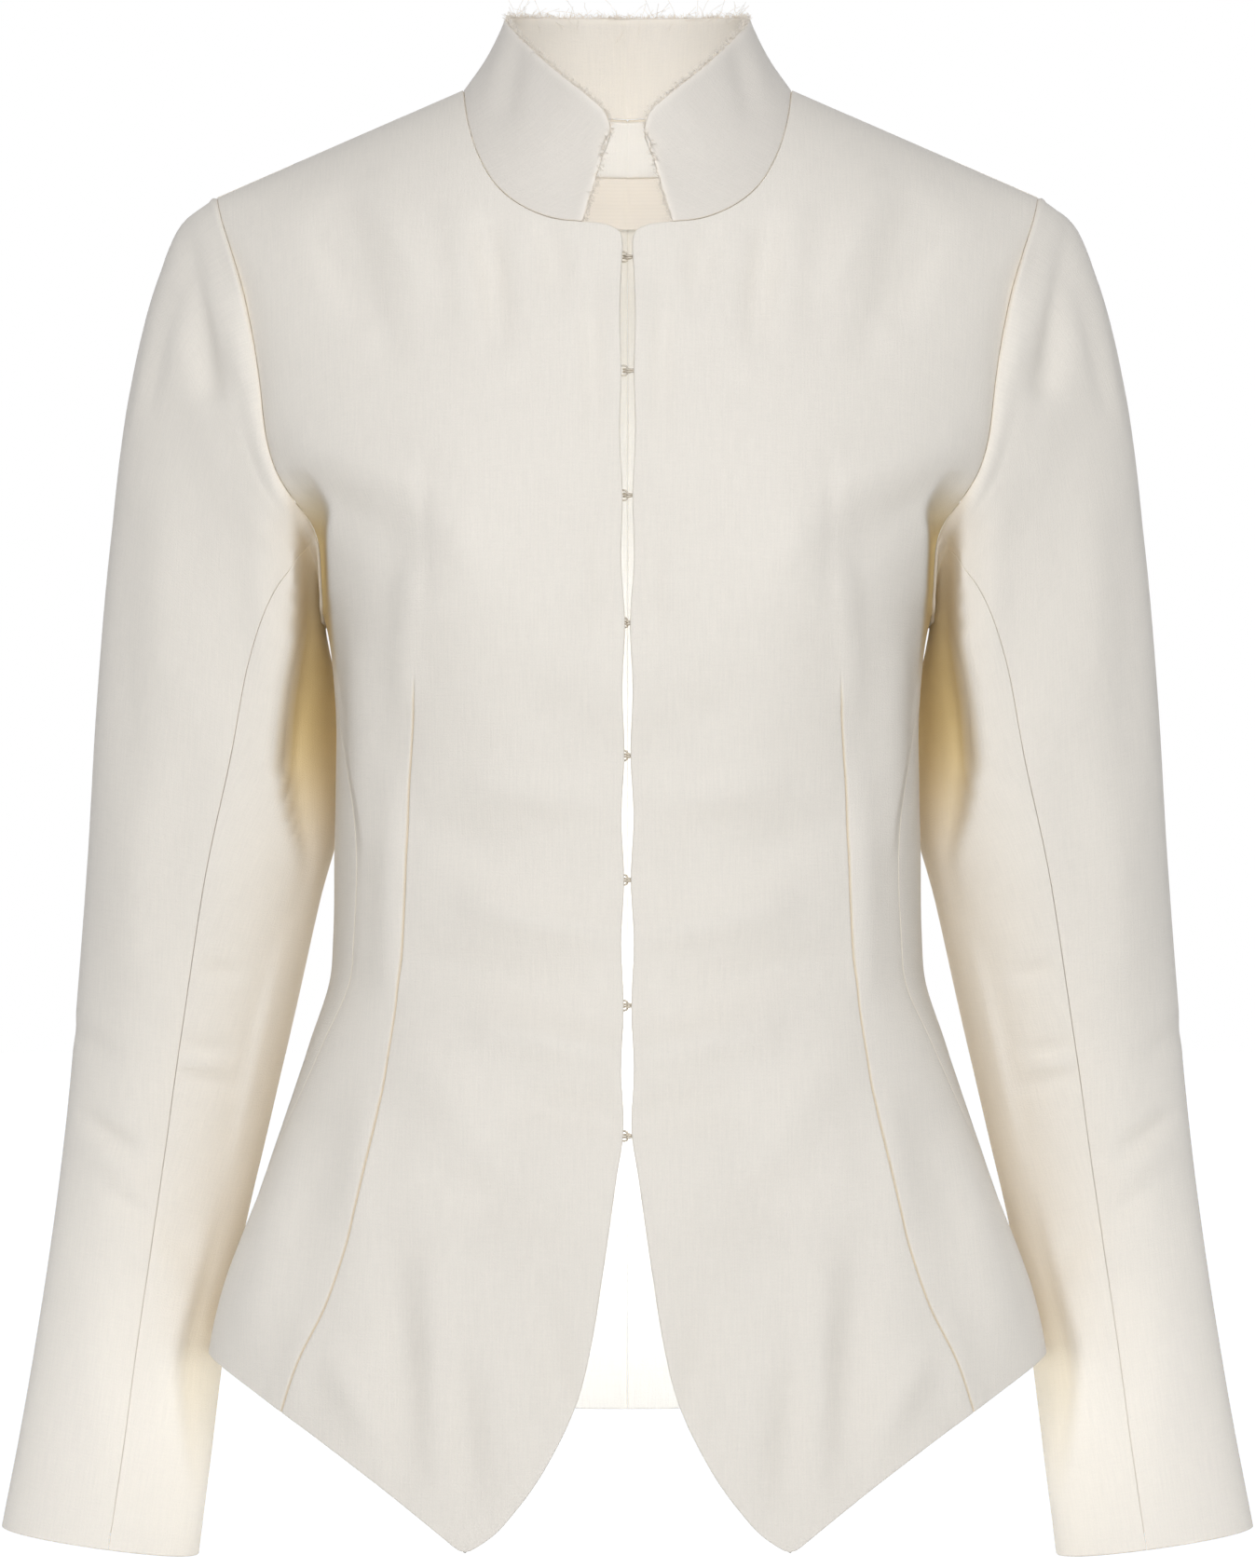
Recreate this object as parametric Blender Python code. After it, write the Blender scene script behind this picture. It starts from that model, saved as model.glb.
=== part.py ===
"""Fitted hip-length jacket with a stand collar, a hook-and-eye front and two-piece sleeves.

It keeps the hollow shape that it has when worn. X runs to the wearer's left, Y to the
back and Z up. The origin lies midway between the two points where the shoulder seams
meet the collar, which is where the wearer's neck and shoulders carry the jacket.
All sizes below are millimetres and degrees, and the meshes are made in metres.
"""

import math

import bpy
import numpy as np

MM = 0.001

# Cloth and seams
CLOTH = 2.0
COLLAR_CLOTH = 2.2
FACING_CLOTH = 1.2
LABEL_CLOTH = 1.0
SEAM_GAP = 0.3
ARMHOLE_GAP = 0.45
FACING_GAP = 0.4
FACING_RECESS = 0.8

# Heights above the points where the shoulder seams meet the collar
SHOULDER_DROP = 49.0
SHOULDER_ROUND_END = -205.0
UNDERARM = -240.0
DART_TOP = -265.0
SIDE_HEM = -573.0
BACK_HEM = -613.5
FRONT_POINT = -656.0
FRONT_EDGE_TOP = -87.0

# Distances across from the centre
NECK_HALF = 75.0
SHOULDER_HALF = 187.0
FRONT_GAP_HALF = 2.4
SHOULDER_ROUNDNESS = 0.6
FRONT_HEM_BOW = 3.2
BACK_HEM_BOW = -11.0
LABEL_TILT = 0.45

# Rings of the body: height, half width, front and back depth, depth of the widest
# point, and squareness of the section, where 2 is an ellipse
TORSO = (
    (-680.0, 198.0, 120.0, 144.0, -30.0, 2.2),
    (-600.0, 192.0, 117.0, 136.0, -30.0, 2.2),
    (-571.0, 189.0, 115.0, 131.0, -30.0, 2.2),
    (-545.0, 183.0, 112.0, 126.0, -30.0, 2.2),
    (-511.0, 170.5, 107.0, 117.0, -25.0, 2.2),
    (-469.0, 156.0, 101.0, 106.0, -18.0, 2.2),
    (-431.0, 143.5, 96.0, 96.0, -10.0, 2.3),
    (-405.0, 135.4, 93.0, 90.0, -5.0, 2.3),
    (-385.0, 134.0, 92.0, 86.0, -2.0, 2.4),
    (-350.0, 133.6, 93.0, 84.0, 0.0, 2.4),
    (-316.0, 132.9, 98.0, 87.0, 0.0, 2.4),
    (-282.0, 132.9, 106.0, 94.0, 0.0, 2.5),
    (-240.0, 138.6, 111.0, 102.0, 0.0, 2.5),
    (-209.0, 149.5, 110.0, 106.0, 0.0, 2.5),
    (-186.0, 164.0, 108.5, 109.0, 0.0, 2.5),
    (-163.0, 174.0, 107.0, 110.0, 0.0, 2.5),
    (-134.0, 181.5, 106.0, 112.0, 0.0, 2.5),
    (-105.0, 188.0, 105.5, 114.0, 0.0, 2.5),
    (-75.0, 195.5, 105.5, 116.0, 0.0, 2.5),
    (-40.0, 202.5, 105.5, 119.0, 0.0, 2.5),
    (-7.0, 205.0, 105.5, 125.0, 0.0, 2.5),
    (40.0, 208.0, 105.5, 125.0, 0.0, 2.5),
)

# Fullness over the figure: distance across, height, reach across, up and down, depth
BUST = (84.0, -222.0, 46.0, 62.0, 42.0, 15.0)
SHOULDER_BLADE = (78.0, -128.0, 50.0, 60.0, 70.0, 5.0)

# Each armhole from the underarm to the shoulder: height, and angle round the body
# with 0 at the centre front and 180 at the centre back
ARMHOLE_FRONT = (
    (-240.0, 90.0),
    (-236.0, 83.0),
    (-226.0, 76.0),
    (-215.0, 70.0),
    (-208.0, 66.6),
    (-198.0, 64.0),
    (-192.0, 64.5),
    (-186.0, 65.4),
    (-180.0, 66.4),
    (-173.0, 66.7),
    (-164.0, 66.0),
    (-152.0, 64.6),
    (-141.0, 63.5),
    (-127.0, 62.6),
    (-105.0, 62.4),
    (-93.0, 62.5),
    (-75.0, 63.8),
    (-61.0, 65.4),
    (-49.0, 66.2),
)
ARMHOLE_BACK = (
    (-240.0, 90.0),
    (-236.0, 97.0),
    (-224.0, 104.0),
    (-208.0, 109.0),
    (-186.0, 112.5),
    (-163.0, 115.0),
    (-134.0, 116.5),
    (-105.0, 116.0),
    (-75.0, 115.0),
    (-49.0, 113.8),
)

# Front edge below the lowest hook: height, distance from the centre
FRONT_EDGE = (
    (-656.0, 72.0),
    (-648.0, 60.1),
    (-636.0, 49.0),
    (-623.5, 39.8),
    (-611.0, 32.5),
    (-599.0, 26.5),
    (-587.0, 21.7),
    (-562.0, 15.6),
    (-537.0, 11.5),
    (-512.0, 7.8),
    (-488.0, 4.6),
    (-472.0, 2.4),
)

# Dart of a front and of a back: height, distance from the centre
FRONT_DART = (
    (-600.0, 155.5),
    (-591.0, 152.3),
    (-574.0, 146.0),
    (-547.0, 134.0),
    (-515.0, 123.5),
    (-473.0, 113.0),
    (-438.0, 107.0),
    (-382.0, 100.3),
    (-331.0, 98.3),
    (-265.0, 94.0),
)
BACK_DART = (
    (-620.0, 96.0),
    (-560.0, 88.0),
    (-480.0, 77.0),
    (-382.0, 68.0),
    (-300.0, 72.0),
    (-240.0, 78.0),
)

# Side seam: height, depth
SIDE_SEAM = (
    (-573.0, -22.0),
    (-500.0, -28.0),
    (-450.0, -40.0),
    (-385.0, -46.0),
    (-325.0, -44.0),
    (-286.0, -29.0),
    (-240.0, 0.0),
)

# Top of a front, from its edge round the neck seam to the shoulder: across, height
FRONT_CORNER = ((2.6, -75.5), (7.0, -67.6))
FRONT_NECK = (
    (20.0, -66.0),
    (30.5, -64.8),
    (39.5, -62.2),
    (49.0, -57.3),
    (58.5, -49.0),
    (66.5, -35.5),
    (72.0, -18.5),
    (75.0, 0.0),
)
BACK_NECK = (
    (0.0, -7.4),
    (25.0, -6.6),
    (47.0, -4.0),
    (64.0, -1.2),
    (75.0, 0.0),
)

# Raw top edge of the collar: share of the way round, across, depth, height
COLLAR_TOP = (
    (0.0, 10.6, -72.6, -30.0),
    (0.045, 7.9, -70.6, -23.0),
    (0.09, 9.6, -69.6, -17.0),
    (0.17, 18.0, -66.5, -8.6),
    (0.27, 28.4, -58.5, 0.4),
    (0.39, 40.6, -43.0, 12.0),
    (0.49, 50.8, -22.0, 24.0),
    (0.59, 56.0, 2.0, 32.6),
    (0.7, 51.5, 27.0, 36.0),
    (0.85, 30.0, 48.5, 38.0),
    (1.0, 0.0, 55.0, 38.7),
)
COLLAR_HOLLOW = 1.6

# Sleeve rings: distance down, outer point across and height, inner point across and
# height, front and back depth, and the share of the armhole's own shape that is left
SLEEVE = (
    (0.0, 187.0, -49.0, 140.0, -240.0, -56.0, 61.0, 1.0),
    (18.0, 204.3, -60.0, 139.8, -246.0, -59.0, 67.0, 0.85),
    (40.0, 214.6, -86.0, 138.3, -254.0, -60.0, 74.0, 0.6),
    (90.0, 228.3, -137.0, 134.9, -270.0, -54.0, 81.0, 0.25),
    (150.0, 237.8, -207.0, 133.4, -295.0, -41.0, 88.0, 0.05),
    (215.0, 244.4, -278.0, 131.8, -330.0, -27.0, 91.0, 0.0),
    (280.0, 249.0, -350.0, 142.3, -372.0, -14.0, 91.0, 0.0),
    (340.0, 254.0, -413.0, 153.5, -422.0, -5.0, 90.0, 0.0),
    (395.0, 258.5, -463.0, 165.9, -475.0, 1.0, 88.0, 0.0),
    (450.0, 263.9, -510.8, 177.6, -525.7, 2.0, 81.0, 0.0),
    (505.0, 270.4, -560.0, 186.1, -577.0, -5.0, 68.0, 0.0),
    (555.0, 277.9, -609.0, 191.3, -625.9, -15.0, 55.0, 0.0),
    (602.0, 285.9, -655.5, 195.9, -668.4, -28.0, 40.0, 0.0),
)
SLEEVE_SQUARE = 2.1
SEAM_TURN = 40.0
# Sleeve seams: distance down, and angle round the sleeve with 0 outside and 90 in front
SLEEVE_FRONT_SEAM = (
    (0.0, 117.0),
    (50.0, 116.0),
    (95.0, 113.0),
    (140.0, 106.0),
    (180.0, 100.5),
    (240.0, 95.0),
    (360.0, 92.5),
    (450.0, 95.5),
    (602.0, 97.0),
)
SLEEVE_BACK_SEAM = ((0.0, -118.0), (90.0, -117.0), (280.0, -114.0), (602.0, -112.0))

# Hooks and eyes: heights, and wire paths as across, depth behind the facing, height
HOOK_LEVELS = (-82.0, -133.3, -188.9, -245.3, -303.8, -359.0, -414.7, -472.3)
WIRE = 0.42
WIRE_STANDOFF = 0.35
WIRE_SEAT = 4.0
HOOK_PATH = (
    (7.6, 0.0, 0.0),
    (6.6, 0.0, 1.6),
    (4.6, 0.0, 1.6),
    (2.6, 0.0, 0.55),
    (-0.6, 0.0, 0.55),
    (-1.45, 0.45, 0.55),
    (-1.8, 1.25, 0.55),
    (-1.45, 2.05, 0.55),
    (-0.6, 2.5, 0.55),
    (1.4, 2.5, 0.55),
    (2.0, 2.5, 0.0),
)
EYE_PATH = (
    (-7.6, 0.0, 0.0),
    (-6.9, 0.0, 1.9),
    (-5.2, 0.0, 2.4),
    (-3.4, 1.25, 2.1),
    (-0.7, 1.25, 2.0),
    (-0.1, 1.25, 1.4),
    (-0.1, 1.25, 0.0),
)

LABEL_HALF = 23.0
LABEL_TOP = -33.0
LABEL_BOTTOM = -56.0
LABEL_STANDOFF = 0.9

# Mesh steps. Rows of the body lie closer together near the hem, and a hem's bow
# fades out over the lowest of them.
CENTRE_COLUMNS = 8
SIDE_COLUMNS = 4
SHOULDER_SPLIT = 0.5
LOWER_ROWS = 13
ROW_CROWDING = 1.25
HEM_BOW_ROWS = 5
ARMHOLE_ROWS = 15
NECK_ROWS = 6
COLLAR_ROWS = 4
FACING_COLUMNS = 3
NECK_FACING_ROWS = 8
NECK_FACING_COLUMNS = 5
SLEEVE_ROWS = (0, 9, 22, 42, 68, 100, 138, 180, 225, 270, 312, 354, 396, 438, 480, 522, 562, 602)

IVORY = (0.80, 0.77, 0.69, 1.0)
INNER_IVORY = (0.84, 0.80, 0.73, 1.0)
TAPE_WHITE = (0.86, 0.82, 0.75, 1.0)
WIRE_GREY = (0.55, 0.54, 0.52, 1.0)


def read(table, at):
    """Each later column of a table, at values of its first, by a smooth curve."""
    rows = np.array(table, float)
    key, values = rows[:, 0], rows[:, 1:]
    at = np.clip(np.asarray(at, float), key[0], key[-1])
    step = np.diff(key)
    rise = np.diff(values, axis=0) / step[:, None]
    share = (step[1:] / (step[1:] + step[:-1]))[:, None]
    slope = np.concatenate([rise[:1], rise[:-1] * share + rise[1:] * (1 - share), rise[-1:]])
    low = np.clip(np.searchsorted(key, at, side="right") - 1, 0, len(step) - 1)
    width = step[low]
    t = ((at - key[low]) / width)[..., None]
    width = width[..., None]
    found = (
        values[low] * (2 * t**3 - 3 * t**2 + 1)
        + slope[low] * width * (t**3 - 2 * t**2 + t)
        + values[low + 1] * (3 * t**2 - 2 * t**3)
        + slope[low + 1] * width * (t**3 - t**2)
    )
    return np.moveaxis(found, -1, 0)


def mix(first, second, share):
    return first + (second - first) * share


def unit(vectors):
    return vectors / np.maximum(np.linalg.norm(vectors, axis=-1, keepdims=True), 1e-9)


def mirrored(points):
    return points * np.array([-1.0, 1.0, 1.0])


def lengths_along(points):
    return np.concatenate([[0], np.cumsum(np.linalg.norm(np.diff(points, axis=0), axis=1))])


def spaced(points, path, count):
    """Rows of points at even steps of length along the path that belongs to them."""
    lengths = lengths_along(path)
    at = np.linspace(0, lengths[-1], count)
    return np.column_stack([np.interp(at, lengths, column) for column in points.T])


def smooth_path(points, count):
    """Evenly spaced points on a smooth curve through the given ones."""
    points = np.array(points, float)
    keys = lengths_along(points)
    fine = read(np.column_stack([keys, points]), np.linspace(0, keys[-1], 300)).T
    return spaced(fine, fine, count)


def shoulder_line(x):
    """Height of the shoulder seam, carried on over the neck."""
    return -(x - NECK_HALF) * SHOULDER_DROP / (SHOULDER_HALF - NECK_HALF)


def swell(x, z, fullness):
    centre, height, across, up, down, depth = fullness
    tall = np.where(z > height, up, down)
    return depth * np.exp(-(((x - centre) / across) ** 2) - ((z - height) / tall) ** 2)


def torso(angle, z):
    """Point of the body's outer surface at an angle from the centre front and a height."""
    half, front, back, widest, square = read(TORSO, z)
    turn = np.radians(angle)
    x = half * np.abs(np.sin(turn)) ** (2 / square)
    along = np.abs(np.cos(turn)) ** (2 / square)
    in_front = np.asarray(angle) <= 90
    y = np.where(in_front, widest - (front + widest) * along, widest + (back - widest) * along)
    share = (shoulder_line(x) - z) / (shoulder_line(x) - SHOULDER_ROUND_END)
    y = y * (1 - (1 - np.clip(share, 0, 1)) ** 2) ** SHOULDER_ROUNDNESS
    full = np.where(in_front, -swell(x, z, BUST), swell(x, z, SHOULDER_BLADE)) * along
    return np.stack([x, y + full, z + 0 * x], axis=-1)


def angle_at(x, z, behind):
    """Angle round the body of a point this far across."""
    half, _, _, _, square = read(TORSO, z)
    angle = np.degrees(np.arcsin(np.clip(x / half, 0, 1) ** (square / 2)))
    return 180 - angle if behind else angle


def side_seam_angle(z):
    """Angle round the body of the side seam, from its depth."""
    _, front, _, widest, square = read(TORSO, z)
    (depth,) = read(SIDE_SEAM, z)
    share = np.clip((widest - depth) / (front + widest), 0, 1)
    return np.degrees(np.arccos(share ** (square / 2)))


def lower_heights(bottom):
    """Heights of the rows from the hem to the underarm. One row lies at the dart's top."""
    return np.append(mix(bottom, DART_TOP, np.linspace(0, 1, LOWER_ROWS) ** ROW_CROWDING), UNDERARM)


def front_inner():
    """Inner boundary of a front: up its edge, then round the neck: across and height."""
    straight = ARMHOLE_ROWS - NECK_ROWS - len(FRONT_CORNER) - 1
    z = np.append(lower_heights(FRONT_POINT), np.linspace(UNDERARM, FRONT_EDGE_TOP, straight + 1)[1:])
    (low_edge,) = read(FRONT_EDGE, z)
    edge = np.column_stack([np.where(z < FRONT_EDGE[-1][0], low_edge, FRONT_GAP_HALF), z])
    return np.concatenate([edge, FRONT_CORNER, smooth_path(FRONT_NECK, NECK_ROWS + 1)])


def back_inner():
    """Inner boundary of a back: up the centre, then round the neck: across and height."""
    straight = ARMHOLE_ROWS - NECK_ROWS + 1
    z = np.append(lower_heights(BACK_HEM), np.linspace(UNDERARM, BACK_NECK[0][1], straight + 1)[1:])
    return np.concatenate([np.column_stack([0 * z, z]), smooth_path(BACK_NECK, NECK_ROWS)[1:]])


def outer_boundary(armhole):
    """Outer boundary of a front or a back: side seam, then armhole: angle and height."""
    z = lower_heights(SIDE_HEM)
    angle = side_seam_angle(z)
    angle[-1] = armhole[0][1]
    fine = smooth_path(np.array(armhole)[:, ::-1], 200)
    upper = spaced(fine, torso(fine[:, 0], fine[:, 1]), ARMHOLE_ROWS + 1)[1:]
    return np.concatenate([np.column_stack([angle, z]), upper])


def dart_point(dart, inner, outer):
    """Where a row crosses a dart line: across and height."""
    z = inner[1]
    for _ in range(30):
        (x,) = read(dart, z)
        z = mix(inner[1], outer[1], np.clip((float(x) - inner[0]) / (outer[0] - inner[0]), 0, 1))
    return float(x), z


def body_grid(inner, outer, dart, apex_row, hem_bow, behind):
    """Outer points of a front or a back, with one column on the dart."""
    rows = []
    for number, ((x_in, z_in), (angle_out, z_out)) in enumerate(zip(inner, outer)):
        x_out = float(torso(angle_out, z_out)[0])
        if number <= apex_row:
            x_dart, z_dart = dart_point(dart, (x_in, z_in), (x_out, z_out))
            apex_share = (x_dart - x_in) / (x_out - x_in)
        else:
            above = (number - apex_row) / (len(inner) - 1 - apex_row)
            share = mix(apex_share, SHOULDER_SPLIT, above)
            x_dart, z_dart = mix(x_in, x_out, share), mix(z_in, z_out, share)
        start, middle = (float(angle_at(x, z, behind)) for x, z in ((x_in, z_in), (x_dart, z_dart)))
        angles = np.append(
            np.linspace(start, middle, CENTRE_COLUMNS + 1),
            np.linspace(middle, angle_out, SIDE_COLUMNS + 1)[1:],
        )
        across = torso(angles, mix(z_in, z_out, 0.5))[:, 0]
        share = (across - across[0]) / (across[-1] - across[0])
        bow = hem_bow * max(0.0, 1 - number / HEM_BOW_ROWS) * 4 * share * (1 - share)
        rows.append(torso(angles, mix(z_in, z_out, share) + bow))
    return np.array(rows)


def normals_of(grid):
    """Directions across a grid whose columns run to the left and whose rows run up."""
    return unit(np.cross(np.gradient(grid, axis=1), np.gradient(grid, axis=0)))


def pulled(grid, sides, amount):
    """The grid with the named sides moved in along the cloth."""
    out = grid.copy()
    neighbours = {
        "left": ((slice(None), 0), (slice(None), 1)),
        "right": ((slice(None), -1), (slice(None), -2)),
        "bottom": ((0, slice(None)), (1, slice(None))),
        "top": ((-1, slice(None)), (-2, slice(None))),
    }
    for side in sides:
        edge, inside = neighbours[side]
        out[edge] += unit(grid[inside] - grid[edge]) * amount
    return out


def shaded(name, colour, roughness, metallic=0.0):
    material = bpy.data.materials.get(name) or bpy.data.materials.new(name)
    material.use_nodes = True
    shader = material.node_tree.nodes["Principled BSDF"]
    shader.inputs["Base Color"].default_value = colour
    shader.inputs["Roughness"].default_value = roughness
    shader.inputs["Metallic"].default_value = metallic
    return material


def faces_of(ids):
    """Triangles of a grid of vertex numbers."""
    corners = [ids[:-1, :-1], ids[:-1, 1:], ids[1:, 1:], ids[1:, :-1]]
    a, b, c, d = (corner.ravel().tolist() for corner in corners)
    return list(zip(a, b, c)) + list(zip(a, c, d))


def wall(name, outer, inner, faces, material, mirror):
    """A closed cloth wall from its outer and inner points, rimmed at every free edge."""
    points = np.concatenate([outer, inner])
    if mirror:
        points, faces = mirrored(points), [face[::-1] for face in faces]
    count = len(outer)
    edges = {(f[i], f[(i + 1) % len(f)]) for f in faces for i in range(len(f))}
    rim = [(b, a, a + count, b + count) for a, b in sorted(edges) if (b, a) not in edges]
    backs = [tuple(v + count for v in face[::-1]) for face in faces]
    mesh = bpy.data.meshes.new(name)
    mesh.from_pydata((points * MM).tolist(), [], faces + backs + rim)
    mesh.update()
    mesh.shade_smooth()
    mesh.set_sharp_from_angle(angle=math.radians(40))
    mesh.materials.append(material)
    thing = bpy.data.objects.new(name, mesh)
    bpy.context.scene.collection.objects.link(thing)


def grid_wall(name, outer, inner, material, mirror):
    ids = np.arange(outer.shape[0] * outer.shape[1]).reshape(outer.shape[:2])
    wall(name, outer.reshape(-1, 3), inner.reshape(-1, 3), faces_of(ids), material, mirror)


def pair(name, outer, inner, material, turned=False):
    """The same wall on the wearer's left and, mirrored, on the right."""
    if turned:
        outer, inner = outer[:, ::-1], inner[:, ::-1]
    grid_wall(name + "_left", outer, inner, material, False)
    grid_wall(name + "_right", outer, inner, material, True)


def darted_pair(name, grid, normals, sides, apex_row, material, turned):
    """A body panel on both sides, slit along its dart from the hem to the dart's end."""
    slit, column = np.arange(apex_row), CENTRE_COLUMNS
    trimmed = pulled(grid, sides, SEAM_GAP / 2)
    at_dart = trimmed[slit, column]
    sideways = at_dart + unit(grid[slit, column + 1] - grid[slit, column]) * SEAM_GAP / 2
    trimmed[slit, column] += unit(grid[slit, column - 1] - grid[slit, column]) * SEAM_GAP / 2
    outer = np.concatenate([trimmed.reshape(-1, 3), sideways])
    outward = np.concatenate([normals.reshape(-1, 3), normals[slit, column]])
    ids = np.arange(grid.shape[0] * grid.shape[1]).reshape(grid.shape[:2])
    far = ids[:, column:].copy()
    far[slit, 0] = ids.size + slit
    faces = faces_of(ids[:, : column + 1]) + faces_of(far)
    if turned:
        faces = [face[::-1] for face in faces]
    for side, mirror in (("left", False), ("right", True)):
        wall(f"{name}_{side}", outer, outer - outward * CLOTH, faces, material, mirror)


def facing_layers(strip, normals):
    """Outer and inner points of a facing that lies behind the cloth."""
    outer = strip - normals * (CLOTH + FACING_GAP)
    return outer, outer - normals * FACING_CLOTH


def add_body(cloth, lining):
    """Fronts, backs and facings. Returns the left neck seam, armhole and back of the facing."""
    front = body_grid(
        front_inner(), outer_boundary(ARMHOLE_FRONT), FRONT_DART, LOWER_ROWS - 1, FRONT_HEM_BOW, False
    )
    back = body_grid(
        back_inner(), outer_boundary(ARMHOLE_BACK), BACK_DART, LOWER_ROWS, BACK_HEM_BOW, True
    )
    front_out, back_out = normals_of(front), -normals_of(back)
    shared = unit(front_out[: LOWER_ROWS + 1, -1] + back_out[: LOWER_ROWS + 1, -1])
    front_out[: LOWER_ROWS + 1, -1] = back_out[: LOWER_ROWS + 1, -1] = shared
    ridge = unit((front_out[-1] + back_out[-1]) * np.array([1.0, 0.0, 1.0]))
    front_out[-1] = back_out[-1] = ridge
    centre_rows = len(back) - NECK_ROWS + 1
    back_out[:centre_rows, 0] = unit(back_out[:centre_rows, 0] * np.array([0.0, 1.0, 1.0]))

    darted_pair("front", front, front_out, ("right", "top"), LOWER_ROWS - 1, cloth, False)
    darted_pair("back", back, back_out, ("left", "right", "top"), LOWER_ROWS, cloth, True)

    strip = pulled(front, ("left", "top", "bottom"), FACING_RECESS)[:, :FACING_COLUMNS]
    facing = facing_layers(strip, front_out[:, :FACING_COLUMNS])
    pair("front_facing", *facing, lining)
    first = len(back) - NECK_FACING_ROWS
    strip = pulled(back, ("left",), SEAM_GAP / 2)
    neck = slice(centre_rows - 1, None)
    strip[neck, 0] += unit(back[neck, 1] - back[neck, 0]) * FACING_RECESS
    strip = pulled(strip, ("top",), FACING_RECESS)[first:, :NECK_FACING_COLUMNS]
    pair("neck_facing", *facing_layers(strip, back_out[first:, :NECK_FACING_COLUMNS]), lining, True)

    neck_seam = np.concatenate([front[-NECK_ROWS - 1 :, 0], back[centre_rows - 1 : -1, 0][::-1]])
    armhole = np.concatenate([front[LOWER_ROWS:, -1], back[LOWER_ROWS:-1, -1][::-1]])
    return neck_seam, armhole, facing[1]


def add_collar(neck_seam, cloth):
    """A band from the neck seam up to its raw edge, open at the centre front."""
    lengths = lengths_along(neck_seam)
    stations = lengths / lengths[-1]
    top = read(COLLAR_TOP, stations).T
    rows = []
    for share in np.linspace(0, 1, COLLAR_ROWS + 1):
        row = mix(neck_seam, top, share)
        hollow = 4 * share * (1 - share) * COLLAR_HOLLOW * np.sin(stations * math.pi) ** 0.5
        rows.append(row - unit(row * np.array([1.0, 1.0, 0.0])) * hollow[:, None])
    left = np.array(rows)
    band = np.concatenate([left, mirrored(left)[:, -2::-1]], axis=1)
    outward = normals_of(band)
    band = pulled(band, ("bottom",), SEAM_GAP)
    grid_wall("collar", band, band - outward * COLLAR_CLOTH, cloth, False)


def sleeve_ring(down, angle):
    """Points of the sleeve's own form at a distance down it and angles round it."""
    out_x, out_z, in_x, in_z, front, back, _ = read(SLEEVE, down)
    turn = np.radians(angle)
    cosine = np.sign(np.cos(turn)) * np.abs(np.cos(turn)) ** (2 / SLEEVE_SQUARE)
    sine = np.sign(np.sin(turn)) * np.abs(np.sin(turn)) ** (2 / SLEEVE_SQUARE)
    x = mix(in_x, out_x, (1 + cosine) / 2)
    z = mix(in_z, out_z, (1 + cosine) / 2)
    return np.stack([x, mix(back, front, (1 + sine) / 2), z], axis=-1)


def add_sleeves(armhole, cloth):
    """Upper and under sleeves, from the armhole seam to the wrist."""
    _, top_x, top_z, low_x, low_z, front_y, back_y, _ = SLEEVE[0]
    upward = np.array([top_x - low_x, 0.0, top_z - low_z])
    tall = np.linalg.norm(upward)
    upward /= tall
    outward = np.array([upward[2], 0.0, -upward[0]])
    centre = np.array([(top_x + low_x) / 2, (front_y + back_y) / 2, (top_z + low_z) / 2])
    cosine = (armhole - centre) @ upward / (tall / 2)
    sine = (centre[1] - armhole[:, 1]) / ((back_y - front_y) / 2)
    start = np.degrees(np.arctan2(sine, cosine))
    start[0], start[-1] = 180.0, -180.0
    front_seam = int(np.argmin(np.abs(start - SLEEVE_FRONT_SEAM[0][1])))
    back_seam = int(np.argmin(np.abs(start - SLEEVE_BACK_SEAM[0][1])))
    corners = start[[0, front_seam, back_seam, -1]]

    rows = []
    for down in SLEEVE_ROWS:
        (front_angle,), (back_angle,) = read(SLEEVE_FRONT_SEAM, down), read(SLEEVE_BACK_SEAM, down)
        goals = [180.0, float(front_angle), float(back_angle), -180.0]
        moved = np.interp(-start, -corners, goals)
        angles = mix(start, moved, min(down / SEAM_TURN, 1.0))
        keep = read(SLEEVE, down)[-1]
        rows.append(sleeve_ring(down, angles) + (armhole - sleeve_ring(0, start)) * keep)
    grid = np.array(rows) + outward * ARMHOLE_GAP
    wrapped = np.concatenate([grid[:, -2:-1], grid, grid[:, 1:2]], axis=1)
    inner = grid + normals_of(wrapped)[:, 1:-1] * CLOTH
    inward = centre - armhole
    rim = unit(inward - (inward @ outward)[:, None] * outward)
    inner[0] = grid[0] + unit(rim + normals_of(wrapped)[0, 1:-1]) * CLOTH

    last = grid.shape[1] - 1
    upper = np.arange(front_seam, back_seam + 1)
    under = np.append(np.arange(back_seam, last), np.arange(front_seam + 1))
    for name, columns in (("upper_sleeve", upper), ("under_sleeve", under)):
        sides = [pulled(layer[:, columns], ("left", "right"), SEAM_GAP / 2) for layer in (grid, inner)]
        pair(name, *sides, cloth, True)


def add_label(tape):
    """Bare woven label inside the back of the neck."""
    x, z = np.meshgrid(
        np.linspace(-LABEL_HALF, LABEL_HALF, 9), np.linspace(LABEL_BOTTOM, LABEL_TOP, 4)
    )
    on_back = torso(angle_at(np.abs(x), z, True), z)
    on_back[..., 0] = x
    inward = unit(np.array([0.0, -1.0, -LABEL_TILT]))
    outer = on_back + inward * (CLOTH + FACING_GAP + FACING_CLOTH + LABEL_STANDOFF)
    grid_wall("label", outer[:, ::-1], (outer + inward * LABEL_CLOTH)[:, ::-1], tape, False)


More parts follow.
